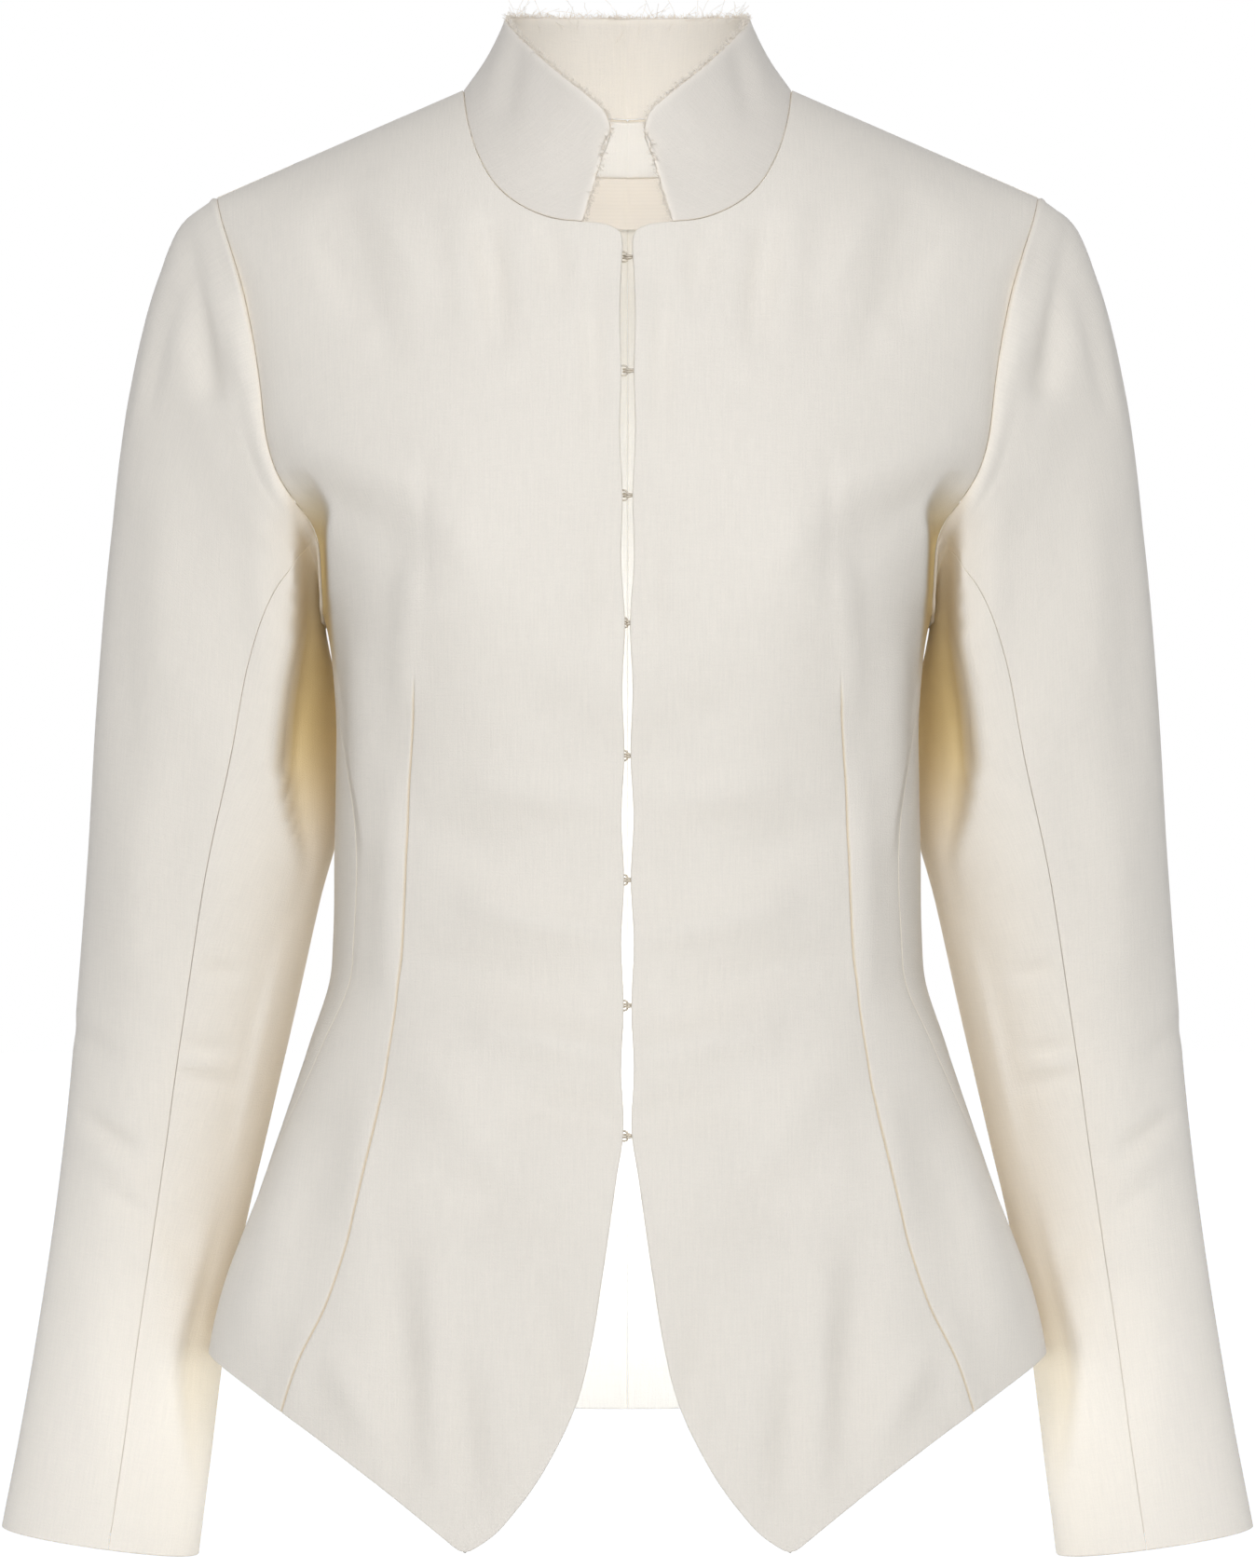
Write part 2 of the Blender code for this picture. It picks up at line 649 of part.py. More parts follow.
def add_wire(name, path, level, facing, metal):
    """A closed bent wire, mirrored below its own level, sewn to the back of the facings."""
    half = np.array(path)
    loop = np.concatenate([half, (half * np.array([1.0, 1.0, -1.0]))[-2:0:-1]])
    at = level + loop[:, 2]
    near, next_column = facing[:, 0], facing[:, 1]
    under_wire = mix(near, next_column, (WIRE_SEAT / next_column[:, 0])[:, None])
    seat = np.interp(at, under_wire[:, 2], under_wire[:, 1])
    loop = np.column_stack([loop[:, 0], seat + WIRE_STANDOFF + WIRE + loop[:, 1], at])
    curve = bpy.data.curves.new(name, "CURVE")
    curve.dimensions = "3D"
    curve.bevel_depth = WIRE * MM
    curve.bevel_resolution = 1
    spline = curve.splines.new("POLY")
    spline.points.add(len(loop) - 1)
    for target, point in zip(spline.points, loop * MM):
        target.co = (*point, 1.0)
    spline.use_cyclic_u = True
    curve.materials.append(metal)
    bpy.context.scene.collection.objects.link(bpy.data.objects.new(name, curve))


def build():
    for thing in list(bpy.data.objects):
        bpy.data.objects.remove(thing)
    cloth = shaded("ivory_linen", IVORY, 0.85)
    lining = shaded("ivory_facing", INNER_IVORY, 0.8)
    tape = shaded("label_tape", TAPE_WHITE, 0.6)
    metal = shaded("hook_wire", WIRE_GREY, 0.35, 0.9)
    neck_seam, armhole, facing = add_body(cloth, lining)
    add_collar(neck_seam, cloth)
    add_sleeves(armhole, cloth)
    add_label(tape)
    for number, level in enumerate(HOOK_LEVELS, 1):
        add_wire(f"hook_{number}", HOOK_PATH, level, facing, metal)
        add_wire(f"eye_{number}", EYE_PATH, level, facing, metal)


build()
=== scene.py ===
"""Ivory linen jacket with a raw-edged stand collar, dressed for rendering.

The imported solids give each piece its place. This script lays a fine cloth wall, with its
folds, seams and weave, over each of them. X runs to the wearer's left, Y to the back and
Z up. Sizes in the tables are millimetres and degrees, and meshes are made in metres.
"""

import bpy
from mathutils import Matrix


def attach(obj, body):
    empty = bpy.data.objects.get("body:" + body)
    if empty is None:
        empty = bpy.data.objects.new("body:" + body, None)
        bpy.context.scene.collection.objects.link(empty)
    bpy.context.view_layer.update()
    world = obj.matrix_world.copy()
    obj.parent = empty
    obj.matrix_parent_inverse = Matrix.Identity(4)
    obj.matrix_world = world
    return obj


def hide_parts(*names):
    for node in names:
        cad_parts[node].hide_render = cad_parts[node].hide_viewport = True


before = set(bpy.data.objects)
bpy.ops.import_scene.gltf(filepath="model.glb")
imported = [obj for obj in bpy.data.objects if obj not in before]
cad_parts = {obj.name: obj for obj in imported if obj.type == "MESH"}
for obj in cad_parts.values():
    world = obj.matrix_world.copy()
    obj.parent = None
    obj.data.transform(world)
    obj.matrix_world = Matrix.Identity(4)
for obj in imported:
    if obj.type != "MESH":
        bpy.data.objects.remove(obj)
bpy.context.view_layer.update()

import functools
import math

import bpy
import numpy as np
from bpy.props import FloatProperty, FloatVectorProperty, IntProperty, PointerProperty
from mathutils import Vector

bl_info = {
    "name": "Linen jacket",
    "version": (1, 0, 0),
    "blender": (4, 5, 0),
    "location": "3D Viewport > Sidebar > Jacket",
    "description": "Builds a fitted stand-collar linen jacket over its packed pieces",
    "category": "Object",
}

MM = 0.001

# ---------------------------------------------------------------- sizes of the pieces

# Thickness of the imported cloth, and the gap between it and the facings
PACKED_CLOTH = 2.0
FACING_GAP = 0.4
# How far the facings stand back from the edges that they line
FACING_RECESS = 0.8
NECK_FACING_RECESS = 0.08
# Gap between a sleeve and its armhole, and the reach in which its ring closes underarm
ARMHOLE_GAP = 0.04
UNDERARM_EASE = 15.0

# Heights above the points where the shoulder seams meet the collar
SHOULDER_DROP = 49.0
SHOULDER_ROUND_END = -205.0
UNDERARM = -240.0
DART_TOP = -265.0
BACK_DART_TOP = -240.0
SIDE_HEM = -573.0
BACK_HEM = -613.5
FRONT_POINT = -656.0

# Distances across from the centre
NECK_HALF = 75.0
SHOULDER_HALF = 187.0

# How the body rounds over to its shoulder seam: the lower, the fuller
SHOULDER_ROUNDNESS = 0.6
# Bow of each hem between centre and side, and how far up the panel it reaches
FRONT_HEM_BOW = 3.2
BACK_HEM_BOW = -11.0
HEM_BOW_REACH = 95.0

# Rings of the body: height, half width, front and back depth, depth of the widest
# point, and squareness of the section, where 2 is an ellipse
TORSO = (
    (-680.0, 198.0, 120.0, 144.0, -30.0, 2.2),
    (-600.0, 192.0, 117.0, 136.0, -30.0, 2.2),
    (-571.0, 189.0, 115.0, 131.0, -30.0, 2.2),
    (-545.0, 183.0, 112.0, 126.0, -30.0, 2.2),
    (-511.0, 170.5, 107.0, 117.0, -25.0, 2.2),
    (-469.0, 156.0, 101.0, 106.0, -18.0, 2.2),
    (-431.0, 143.5, 96.0, 96.0, -10.0, 2.3),
    (-405.0, 135.4, 93.0, 90.0, -5.0, 2.3),
    (-385.0, 134.0, 92.0, 86.0, -2.0, 2.4),
    (-350.0, 133.6, 93.0, 84.0, 0.0, 2.4),
    (-316.0, 132.9, 98.0, 87.0, 0.0, 2.4),
    (-282.0, 132.9, 106.0, 94.0, 0.0, 2.5),
    (-240.0, 138.6, 111.0, 102.0, 0.0, 2.5),
    (-209.0, 149.5, 110.0, 106.0, 0.0, 2.5),
    (-186.0, 164.0, 108.5, 109.0, 0.0, 2.5),
    (-163.0, 174.0, 107.0, 110.0, 0.0, 2.5),
    (-134.0, 181.5, 106.0, 112.0, 0.0, 2.5),
    (-105.0, 188.0, 105.5, 114.0, 0.0, 2.5),
    (-75.0, 195.5, 105.5, 116.0, 0.0, 2.5),
    (-40.0, 202.5, 105.5, 119.0, 0.0, 2.5),
    (-7.0, 205.0, 105.5, 125.0, 0.0, 2.5),
    (40.0, 208.0, 105.5, 125.0, 0.0, 2.5),
)

# Fullness over the figure: distance across, height, reach across, up and down, depth
BUST = (84.0, -222.0, 46.0, 62.0, 42.0, 15.0)
SHOULDER_BLADE = (78.0, -128.0, 50.0, 60.0, 70.0, 5.0)

# Where a front turns in under the arm: height, distance across at which it turns, and the
# share of its depth that is lost there
UNDERARM_TURN = (
    (-300.0, 131.0, 0.0),
    (-280.0, 131.5, 0.3),
    (-255.0, 132.5, 0.55),
    (-240.0, 133.0, 0.6),
    (-215.0, 133.5, 0.62),
    (-203.0, 134.0, 0.55),
    (-195.0, 134.5, 0.35),
    (-186.0, 138.0, 0.12),
    (-176.0, 142.0, 0.0),
)
UNDERARM_TURN_WIDTH = 4.0
# Largest share in the table above
DEEPEST_LOSS = 0.62

# Each armhole from the underarm to the shoulder: height, and angle round the body
# with 0 at the centre front and 180 at the centre back
ARMHOLE_FRONT = (
    (-240.0, 90.0),
    (-236.0, 83.0),
    (-226.0, 76.0),
    (-215.0, 70.0),
    (-208.0, 66.6),
    (-198.0, 64.0),
    (-192.0, 64.5),
    (-186.0, 65.4),
    (-180.0, 66.4),
    (-173.0, 66.7),
    (-164.0, 66.0),
    (-152.0, 64.6),
    (-141.0, 63.5),
    (-127.0, 62.6),
    (-105.0, 62.4),
    (-93.0, 62.5),
    (-75.0, 63.8),
    (-61.0, 65.4),
    (-49.0, 66.2),
)
ARMHOLE_BACK = (
    (-240.0, 90.0),
    (-236.0, 97.0),
    (-224.0, 104.0),
    (-208.0, 109.0),
    (-186.0, 112.5),
    (-163.0, 115.0),
    (-134.0, 116.5),
    (-105.0, 116.0),
    (-75.0, 115.0),
    (-49.0, 113.8),
)

# Front edge from the point to the neck: height, distance from the centre. It is drawn in
# at each hook and bows open between them.
FRONT_EDGE = (
    (-656.0, 72.0),
    (-648.0, 60.1),
    (-636.0, 49.0),
    (-623.5, 39.8),
    (-611.0, 32.5),
    (-599.0, 26.5),
    (-587.0, 21.7),
    (-562.0, 15.6),
    (-537.0, 11.5),
    (-512.0, 7.8),
    (-488.0, 4.4),
    (-472.3, 1.9),
    (-443.0, 2.7),
    (-414.7, 1.6),
    (-387.0, 2.7),
    (-359.0, 1.4),
    (-331.0, 2.6),
    (-303.8, 1.3),
    (-274.0, 2.2),
    (-245.3, 1.0),
    (-217.0, 2.7),
    (-188.9, 2.0),
    (-161.0, 3.3),
    (-133.3, 2.7),
    (-108.0, 3.3),
    (-90.0, 2.8),
    (-82.0, 2.4),
)
FRONT_CORNER = ((2.2, -76.0), (3.3, -70.6), (8.5, -67.4))
FRONT_NECK = (
    (20.0, -66.0),
    (30.5, -64.8),
    (39.5, -62.2),
    (49.0, -57.3),
    (58.5, -49.0),
    (66.5, -35.5),
    (72.0, -18.5),
    (75.0, 0.0),
)
BACK_NECK = (
    (0.0, -7.4),
    (25.0, -6.6),
    (47.0, -4.0),
    (64.0, -1.2),
    (75.0, 0.0),
)

# Dart of a front and of a back: height, distance from the centre
FRONT_DART = (
    (-600.0, 155.5),
    (-591.0, 152.3),
    (-574.0, 146.0),
    (-547.0, 134.0),
    (-515.0, 123.5),
    (-473.0, 113.0),
    (-438.0, 107.0),
    (-382.0, 100.3),
    (-331.0, 98.3),
    (-265.0, 94.0),
)
BACK_DART = (
    (-620.0, 96.0),
    (-560.0, 88.0),
    (-480.0, 77.0),
    (-382.0, 68.0),
    (-300.0, 72.0),
    (-240.0, 78.0),
)

# Side seam: height, depth
SIDE_SEAM = (
    (-573.0, -22.0),
    (-500.0, -28.0),
    (-450.0, -40.0),
    (-385.0, -46.0),
    (-325.0, -44.0),
    (-286.0, -29.0),
    (-240.0, 0.0),
)

# Raw top edge of the collar: share of the way round, across, depth, height
COLLAR_TOP = (
    (0.0, 10.6, -72.6, -30.0),
    (0.045, 7.9, -70.6, -23.0),
    (0.09, 9.6, -69.6, -17.0),
    (0.17, 18.0, -66.5, -8.6),
    (0.27, 28.4, -58.5, 0.4),
    (0.39, 40.6, -43.0, 12.0),
    (0.49, 50.8, -22.0, 24.0),
    (0.59, 56.0, 2.0, 32.6),
    (0.7, 51.5, 27.0, 36.0),
    (0.85, 30.0, 48.5, 38.0),
    (1.0, 0.0, 55.0, 38.7),
)
# How far the collar hollows between its seam and its raw edge, and its height at the side
COLLAR_HOLLOW = 1.6
COLLAR_RISE = 42.0

# Sleeve rings: distance down, outer point across and height, inner point across and
# height, front and back depth, and the share of the armhole's own shape that is left
SLEEVE = (
    (0.0, 187.0, -49.0, 140.0, -240.0, -56.0, 61.0, 1.0),
    (18.0, 204.3, -60.0, 139.8, -246.0, -58.0, 67.0, 0.85),
    (40.0, 214.6, -86.0, 138.3, -254.0, -56.0, 74.0, 0.6),
    (90.0, 228.3, -137.0, 134.9, -270.0, -48.0, 81.0, 0.25),
    (150.0, 237.8, -207.0, 133.4, -295.0, -36.0, 88.0, 0.05),
    (215.0, 244.4, -278.0, 131.8, -330.0, -24.0, 91.0, 0.0),
    (280.0, 249.0, -350.0, 142.3, -372.0, -14.0, 91.0, 0.0),
    (340.0, 254.0, -413.0, 153.5, -422.0, -5.0, 90.0, 0.0),
    (395.0, 258.5, -463.0, 165.9, -475.0, 1.0, 88.0, 0.0),
    (450.0, 263.9, -510.8, 177.6, -525.7, 2.0, 81.0, 0.0),
    (505.0, 270.4, -560.0, 186.1, -577.0, -5.0, 68.0, 0.0),
    (555.0, 277.9, -609.0, 191.3, -625.9, -15.0, 55.0, 0.0),
    (602.0, 285.9, -655.5, 195.9, -668.4, -28.0, 40.0, 0.0),
)
SLEEVE_LENGTH = 602.0
# Squareness of a sleeve's rings, where 2 is an ellipse
SLEEVE_SQUARE = 2.1
# Distance down in which the seams turn from their places on the armhole to those below
SEAM_TURN = 40.0
# Sleeve seams: distance down, and angle round the sleeve with 0 outside and 90 in front
SLEEVE_FRONT_SEAM = (
    (0.0, 140.0),
    (40.0, 130.0),
    (90.0, 116.0),
    (140.0, 106.0),
    (180.0, 100.5),
    (240.0, 95.0),
    (360.0, 92.5),
    (450.0, 95.5),
    (602.0, 97.0),
)
SLEEVE_BACK_SEAM = ((0.0, -118.0), (90.0, -117.0), (280.0, -114.0), (602.0, -112.0))

# Hooks and eyes: heights, gap from the facing, and the distance across at which its depth
# is taken
HOOK_LEVELS = (-82.0, -133.3, -188.9, -245.3, -303.8, -359.0, -414.7, -472.3)
WIRE_STANDOFF = 0.35
WIRE_SEAT = 4.0
# Upper half of each wire's path: across, depth behind the facing, height
HOOK_PATH = (
    (7.6, 0.0, 0.0),
    (6.6, 0.0, 1.6),
    (4.6, 0.0, 1.6),
    (2.6, 0.0, 0.55),
    (-0.6, 0.0, 0.55),
    (-1.45, 0.45, 0.55),
    (-1.8, 1.25, 0.55),
    (-1.45, 2.05, 0.55),
    (-0.6, 2.5, 0.55),
    (1.4, 2.5, 0.55),
    (2.0, 2.5, 0.0),
)
EYE_PATH = (
    (-7.6, 0.0, 0.0),
    (-6.9, 0.0, 1.9),
    (-5.2, 0.0, 2.4),
    (-3.4, 1.25, 2.1),
    (-0.7, 1.25, 2.0),
    (-0.1, 1.25, 1.4),
    (-0.1, 1.25, 0.0),
)

# Label: half its width, its heights, its gap from the facing, its thickness and its lean
LABEL_HALF = 23.0
LABEL_TOP = -33.0
LABEL_BOTTOM = -56.0
LABEL_STANDOFF = 0.4
LABEL_THICK = 0.7
LABEL_LEAN = (0.0, -1.0, -0.25)
# Its pressed folds, upright and level: place, depth and width
LABEL_UPRIGHT_FOLD = (0.0, 0.25, 0.6)
LABEL_LEVEL_FOLD = (-45.0, 0.15, 0.5)

# Width of the front facings
FACING_WIDTH = 26.0
# Width of the neck facings at the centre and at the shoulder, and their depth at the centre
NECK_FACING_WIDTH = (46.0, 28.0)
NECK_FACING_DEPTH = 47.0

# Fray of the collar: shortest and longest thread, how far threads lean aside and curl, as
# shares of their length, and the seed of their random draws
SHORT_FRAY = {"Shortest": 0.8 * MM, "Longest": 2.8 * MM, "Lean": 1.1, "Curl": 0.7, "Seed": 11}
LONG_FRAY = {"Shortest": 2.8 * MM, "Longest": 7.2 * MM, "Lean": 2.0, "Curl": 1.5, "Seed": 29}
# Long threads stand only on the back of the collar, behind this depth
LONG_FRAY_FROM = 20.0
# Share of a thread that is rooted in the cloth, and how far and how closely threads waver
THREAD_ROOT = 0.25
RIPPLE = 1.2
RIPPLE_SPAN = 3.125

# ---------------------------------------------------------------- folds in the cloth

# Soft folds of a front: across and height of both ends, width, and height of the ridge,
# or depth of the trough where it is below 0
FRONT_FOLDS = (
    (142.0, -165.0, 102.0, -180.0, 10.0, 3.4),
    (151.0, -181.0, 124.0, -196.0, 9.0, -2.6),
    (124.0, -196.0, 100.0, -206.0, 11.0, -2.4),
    (100.0, -204.0, 88.0, -210.0, 13.0, -1.3),
    (82.0, -206.0, 58.0, -214.0, 14.0, 2.8),
    (90.0, -172.0, 89.5, -236.0, 3.2, -0.7),
    (88.0, -220.0, 62.0, -253.0, 13.0, -1.5),
    (62.0, -253.0, 40.0, -284.0, 13.0, -1.6),
    (40.0, -284.0, 14.0, -293.0, 12.0, -1.7),
    (76.0, -236.0, 50.0, -272.0, 12.0, 1.4),
    (106.0, -211.0, 104.0, -247.0, 6.5, -1.6),
    (99.0, -229.0, 99.0, -278.0, 6.5, 2.0),
    (119.0, -262.0, 120.0, -340.0, 8.0, 2.4),
    (131.0, -238.0, 132.0, -330.0, 6.0, -1.6),
    (105.0, -316.0, 107.0, -404.0, 7.0, 2.0),
    (58.0, -318.0, 20.0, -324.0, 10.0, 3.4),
    (88.0, -336.0, 52.0, -350.0, 12.0, -2.6),
    (64.0, -372.0, 6.0, -384.0, 9.0, 4.2),
    (92.0, -394.0, 30.0, -406.0, 10.0, -3.0),
    (58.0, -426.0, 4.0, -436.0, 9.5, 4.8),
    (44.0, -458.0, 3.0, -464.0, 8.5, -3.8),
    (92.0, -440.0, 62.0, -478.0, 12.0, 2.4),
    (80.0, -494.0, 40.0, -510.0, 11.0, -2.8),
    (50.0, -516.0, 22.0, -530.0, 12.0, 3.4),
    (34.0, -556.0, 27.0, -598.0, 8.0, -3.4),
    (147.0, -480.0, 157.0, -518.0, 8.0, 3.6),
    (157.0, -518.0, 168.0, -560.0, 11.0, 4.6),
    (116.0, -462.0, 122.0, -505.0, 9.0, 3.2),
    (143.0, -560.0, 150.0, -590.0, 8.0, 2.2),
    (131.0, -570.0, 112.0, -602.0, 8.0, 3.0),
    (103.0, -526.0, 96.5, -616.0, 12.5, -3.8),
    (87.0, -536.0, 82.0, -612.0, 9.0, 2.8),
    (76.0, -580.0, 70.0, -632.0, 9.0, -3.2),
    (62.0, -566.0, 54.0, -612.0, 9.0, 1.6),
    (62.0, -72.0, 57.0, -116.0, 7.0, -3.4),
    (76.0, -66.0, 70.0, -112.0, 8.0, 1.8),
    (138.0, -70.0, 122.0, -104.0, 8.0, -3.2),
    (128.0, -58.0, 106.0, -122.0, 8.0, -2.4),
    (112.0, -50.0, 92.0, -92.0, 9.0, 3.2),
    (36.0, -72.0, 29.0, -100.0, 7.0, -3.0),
    (16.0, -92.0, 15.0, -166.0, 5.0, -2.4),
    (12.0, -200.0, 11.0, -256.0, 4.0, -1.6),
)

# Pull of each hook on the front edge: height of the dip, and how far it spreads
HOOK_PULL = 1.3
HOOK_PULL_TALL = 12.0
HOOK_PULL_WIDE = 30.0

# Soft folds of a back, which the same cut and wearing give
BACK_FOLDS = (
    (150.0, -160.0, 104.0, -180.0, 13.0, 1.5),
    (148.0, -182.0, 98.0, -206.0, 9.0, -1.6),
    (60.0, -380.0, 8.0, -392.0, 10.0, -1.3),
    (118.0, -362.0, 84.0, -378.0, 9.0, -1.1),
    (52.0, -352.0, 4.0, -346.0, 11.0, 1.0),
    (56.0, -412.0, 20.0, -420.0, 12.0, 0.8),
    (112.0, -470.0, 120.0, -560.0, 13.0, 1.4),
    (44.0, -470.0, 50.0, -585.0, 12.0, 1.1),
    (66.0, -500.0, 72.0, -600.0, 8.0, -1.2),
    (120.0, -62.0, 96.0, -120.0, 10.0, -0.7),
    (24.0, -60.0, 12.0, -130.0, 14.0, 0.5),
)

# Soft folds of a sleeve, seen from the front and from the back: the same columns
SLEEVE_FRONT_FOLDS = (
    (203.0, -62.0, 188.5, -136.0, 8.0, -6.4),
    (178.0, -78.0, 174.0, -128.0, 4.5, 1.6),
    (205.0, -86.0, 217.0, -144.0, 4.5, -2.0),
    (212.0, -86.0, 223.0, -146.0, 4.5, 1.2),
    (165.0, -205.0, 164.0, -262.0, 8.0, 2.0),
    (212.0, -180.0, 214.0, -262.0, 10.0, 1.4),
    (226.0, -200.0, 230.0, -300.0, 8.0, -1.2),
    (200.0, -300.0, 208.0, -380.0, 12.0, -1.6),
    (226.0, -330.0, 230.0, -400.0, 10.0, 1.2),
    (190.0, -400.0, 178.0, -404.0, 3.4, -2.2),
    (200.0, -436.0, 184.0, -439.0, 2.8, -2.0),
    (200.0, -442.0, 186.0, -445.0, 2.4, 1.4),
    (204.0, -449.0, 182.0, -455.0, 3.0, -2.2),
    (248.0, -470.0, 228.0, -483.0, 4.5, -3.0),
    (246.0, -484.0, 226.0, -493.0, 6.0, 2.0),
    (236.0, -504.0, 222.0, -512.0, 4.0, -2.0),
    (212.0, -518.0, 200.0, -528.0, 4.5, -1.8),
    (222.0, -530.0, 206.0, -541.0, 6.0, 1.6),
    (254.0, -430.0, 238.0, -440.0, 5.0, -1.8),
    (244.0, -560.0, 238.0, -640.0, 10.0, 1.2),
    (222.0, -560.0, 222.0, -640.0, 10.0, -1.0),
)
SLEEVE_BACK_FOLDS = (
    (190.0, -62.0, 196.0, -128.0, 6.5, -1.8),
    (199.0, -66.0, 207.0, -138.0, 6.5, 1.3),
    (180.0, -150.0, 172.0, -230.0, 12.0, 1.6),
    (200.0, -180.0, 198.0, -260.0, 10.0, -1.2),
    (232.0, -372.0, 192.0, -390.0, 8.0, 1.8),
    (234.0, -396.0, 196.0, -402.0, 6.0, -2.0),
    (238.0, -414.0, 196.0, -424.0, 8.0, 1.6),
    (240.0, -434.0, 206.0, -440.0, 6.0, -1.8),
    (236.0, -458.0, 202.0, -456.0, 9.0, 1.2),
    (222.0, -350.0, 204.0, -300.0, 9.0, -1.0),
    (244.0, -500.0, 232.0, -590.0, 10.0, -0.8),
)

# Where a sleeve turns back beside the body: height, distance across at which it turns,
# and how far it drops back
SLEEVE_TURN = (
    (-645.0, 198.0, 0.0),
    (-612.0, 203.0, 6.0),
    (-580.0, 205.0, 11.0),
    (-545.0, 197.0, 5.0),
    (-500.0, 186.0, 0.0),
    (-380.0, 158.0, 0.0),
    (-352.0, 150.0, 4.0),
    (-328.0, 155.0, 18.0),
    (-307.0, 157.5, 29.0),
    (-282.0, 155.0, 34.0),
    (-256.0, 151.0, 33.0),
    (-235.0, 149.5, 27.0),
    (-212.0, 149.0, 14.0),
    (-190.0, 149.0, 0.0),
)
SLEEVE_TURN_WIDTH = 6.0
# Share of the turn that is already made on the line where it starts
SLEEVE_TURN_START = 0.35
# Share of the sleeve's depth at which the turn starts to fade, and in which it is gone
SLEEVE_TURN_FADE = (0.3, 0.6)
# Distance down in which turn and flat grow from the armhole
SLEEVE_TURN_JOIN = 20.0
# Where the front of a sleeve lies flat below its cap: height, inner and outer edge of the
# flat, and how far it lies back
SLEEVE_FLAT = (
    (-360.0, 150.0, 256.0, 0.0),
    (-300.0, 148.0, 250.0, 5.0),
    (-260.0, 147.0, 244.0, 10.0),
    (-231.0, 146.0, 240.0, 12.5),
    (-205.0, 148.0, 237.0, 13.5),
    (-180.0, 155.0, 233.0, 13.0),
    (-158.0, 162.0, 228.0, 12.0),
    (-137.0, 167.0, 222.0, 8.5),
    (-118.0, 170.0, 218.0, 3.5),
    (-100.0, 172.0, 214.0, 0.0),
)

# Soft folds of the collar, seen from the side of the neck: the same columns
COLLAR_FOLDS = (
    (55.5, 22.0, 62.5, -8.0, 4.5, 1.0),
    (49.0, 20.0, 54.0, -14.0, 5.0, -1.2),
    (42.0, 8.0, 46.0, -24.0, 7.0, 0.6),
    (22.0, -18.0, 28.0, -50.0, 8.0, -0.5),
)

# A fold keeps this share of its height everywhere, and starts this far along its swell
FOLD_LEAST = 0.35
FOLD_START = 0.12

# Sleeve head: the cap rolls over its seam, in full up to an angle from the shoulder and no
# longer past another. Folds and roll start at a share of their height and soon rise to all.
CAP_ROLL = 1.1
CAP_ROLL_AT = 1.9
CAP_ROLL_WIDTH = 1.9
CAP_ANGLES = (45.0, 105.0)
CAP_START = 0.15
CAP_RISE = 1.2
# How sharply a sleeve's front folds give way to its back folds, where it faces sideways
SIDEWAYS_BLEND = 1.2
# Reach in which the wall of a sleeve leans in towards its armhole
RIM_LEAN_REACH = 8.0

# Dips beside the seams: depth and reach, and the share of them on the sleeves' seams
SEAM_DIP = 0.3
SEAM_DIP_REACH = 3.5
SLEEVE_SEAM_DIP = 0.2
# The crisp line of a dart: depth and width, and the distance in which it fades at its top
DART_LINE = 1.5
DART_LINE_WIDTH = 0.32
DART_FADE = 22.0

# How much painted shade lies in each crease, 1 being its full shaded colour, and how wide it is
DART_SHADE = 0.34
SHOULDER_SHADE = 0.1
HEM_SHADE = 0.06
CENTRE_BACK_SHADE = 0.2
COLLAR_SHADE = 0.14
SLEEVE_SEAM_SHADE = 0.05
CUFF_SHADE = 0.08
SHADE_WIDTH = 0.4
# Share of a crease's painted shade that shows inside the jacket
INNER_SHADE = 0.2
# Painted shade in the creases on the armhole and on the side seam of a panel, and on a sleeve's cap and
# below it
SIDE_SHADE = (0.02, 0.15)
ARMHOLE_SHADE = (0.02, 0.16)
# Height at which the painted shade in an armhole's crease starts to show, and how soon it is full
SHADE_HIGH = -95.0
SHADE_RUN = 70.0
# Warmth of the light caught between sleeve and body, at the deepest turn of the sleeve
WARM_HOLLOW = 0.8
DEEPEST_TURN = 34.0
# Faint line beside a front edge, where the facing ends inside: place, depth and width
FACING_LINE_AT = 4.2
FACING_LINE = 0.12
FACING_LINE_WIDTH = 0.5
# Radius of the hem corners, and shares of the cloth's thickness to which edges round
CORNER_ROUND = 5.0
FRONT_EDGE_ROUND = 0.45
RAW_EDGE_ROUND = 0.46
HEM_ROUND = 0.4
# A front's edge is free below the start of the collar's seam, or this far in front of it
COLLAR_START_DROP = 0.3
COLLAR_START_ROOM = 4.0
# Shares of a seam's rounding on the long seams of a sleeve and on its cap
SLEEVE_SEAM_ROUND = 0.2
CAP_SEAM_ROUND = 0.5
# Folds fade out this close to the seams round a panel, and the hollow of a side seam
# within this height below the underarm
FOLD_FADE = 9.0
SIDE_FADE = 12.0
# How far the pale fray reaches in from the raw edges of the collar
FRAY_REACH = 2.2
# Place of the sleeves on the flat cloth, away from that of the body
SLEEVE_MAP_SHIFT = 400.0

# ---------------------------------------------------------------- steps of the meshes

# Rows and columns close to an edge, as distances from it
CLOSE = (0.06, 0.16, 0.34, 0.7, 1.4, 2.3, 3.6)
# Columns close to a dart, as distances from its line
BESIDE_DART = (-2.6, -1.4, -0.75, -0.45, -0.22, 0.0, 0.22, 0.45, 0.75, 1.4, 2.6)
# Distances across a facing from its free edge, where even steps start, and their number
FACING_CLOSE = (0.0, 0.2, 0.6, 1.4)
FACING_EVEN = 2.6
FACING_STEPS = 9
# How many points from an edge its slant is measured, and the least that it may be
EDGE_REACH = 8
LEAST_SLANT = 0.33
# Height beside a neck corner in which rows are close, and room beside a dart
CORNER_SPAN = 7.0
DART_ROOM = 6.0
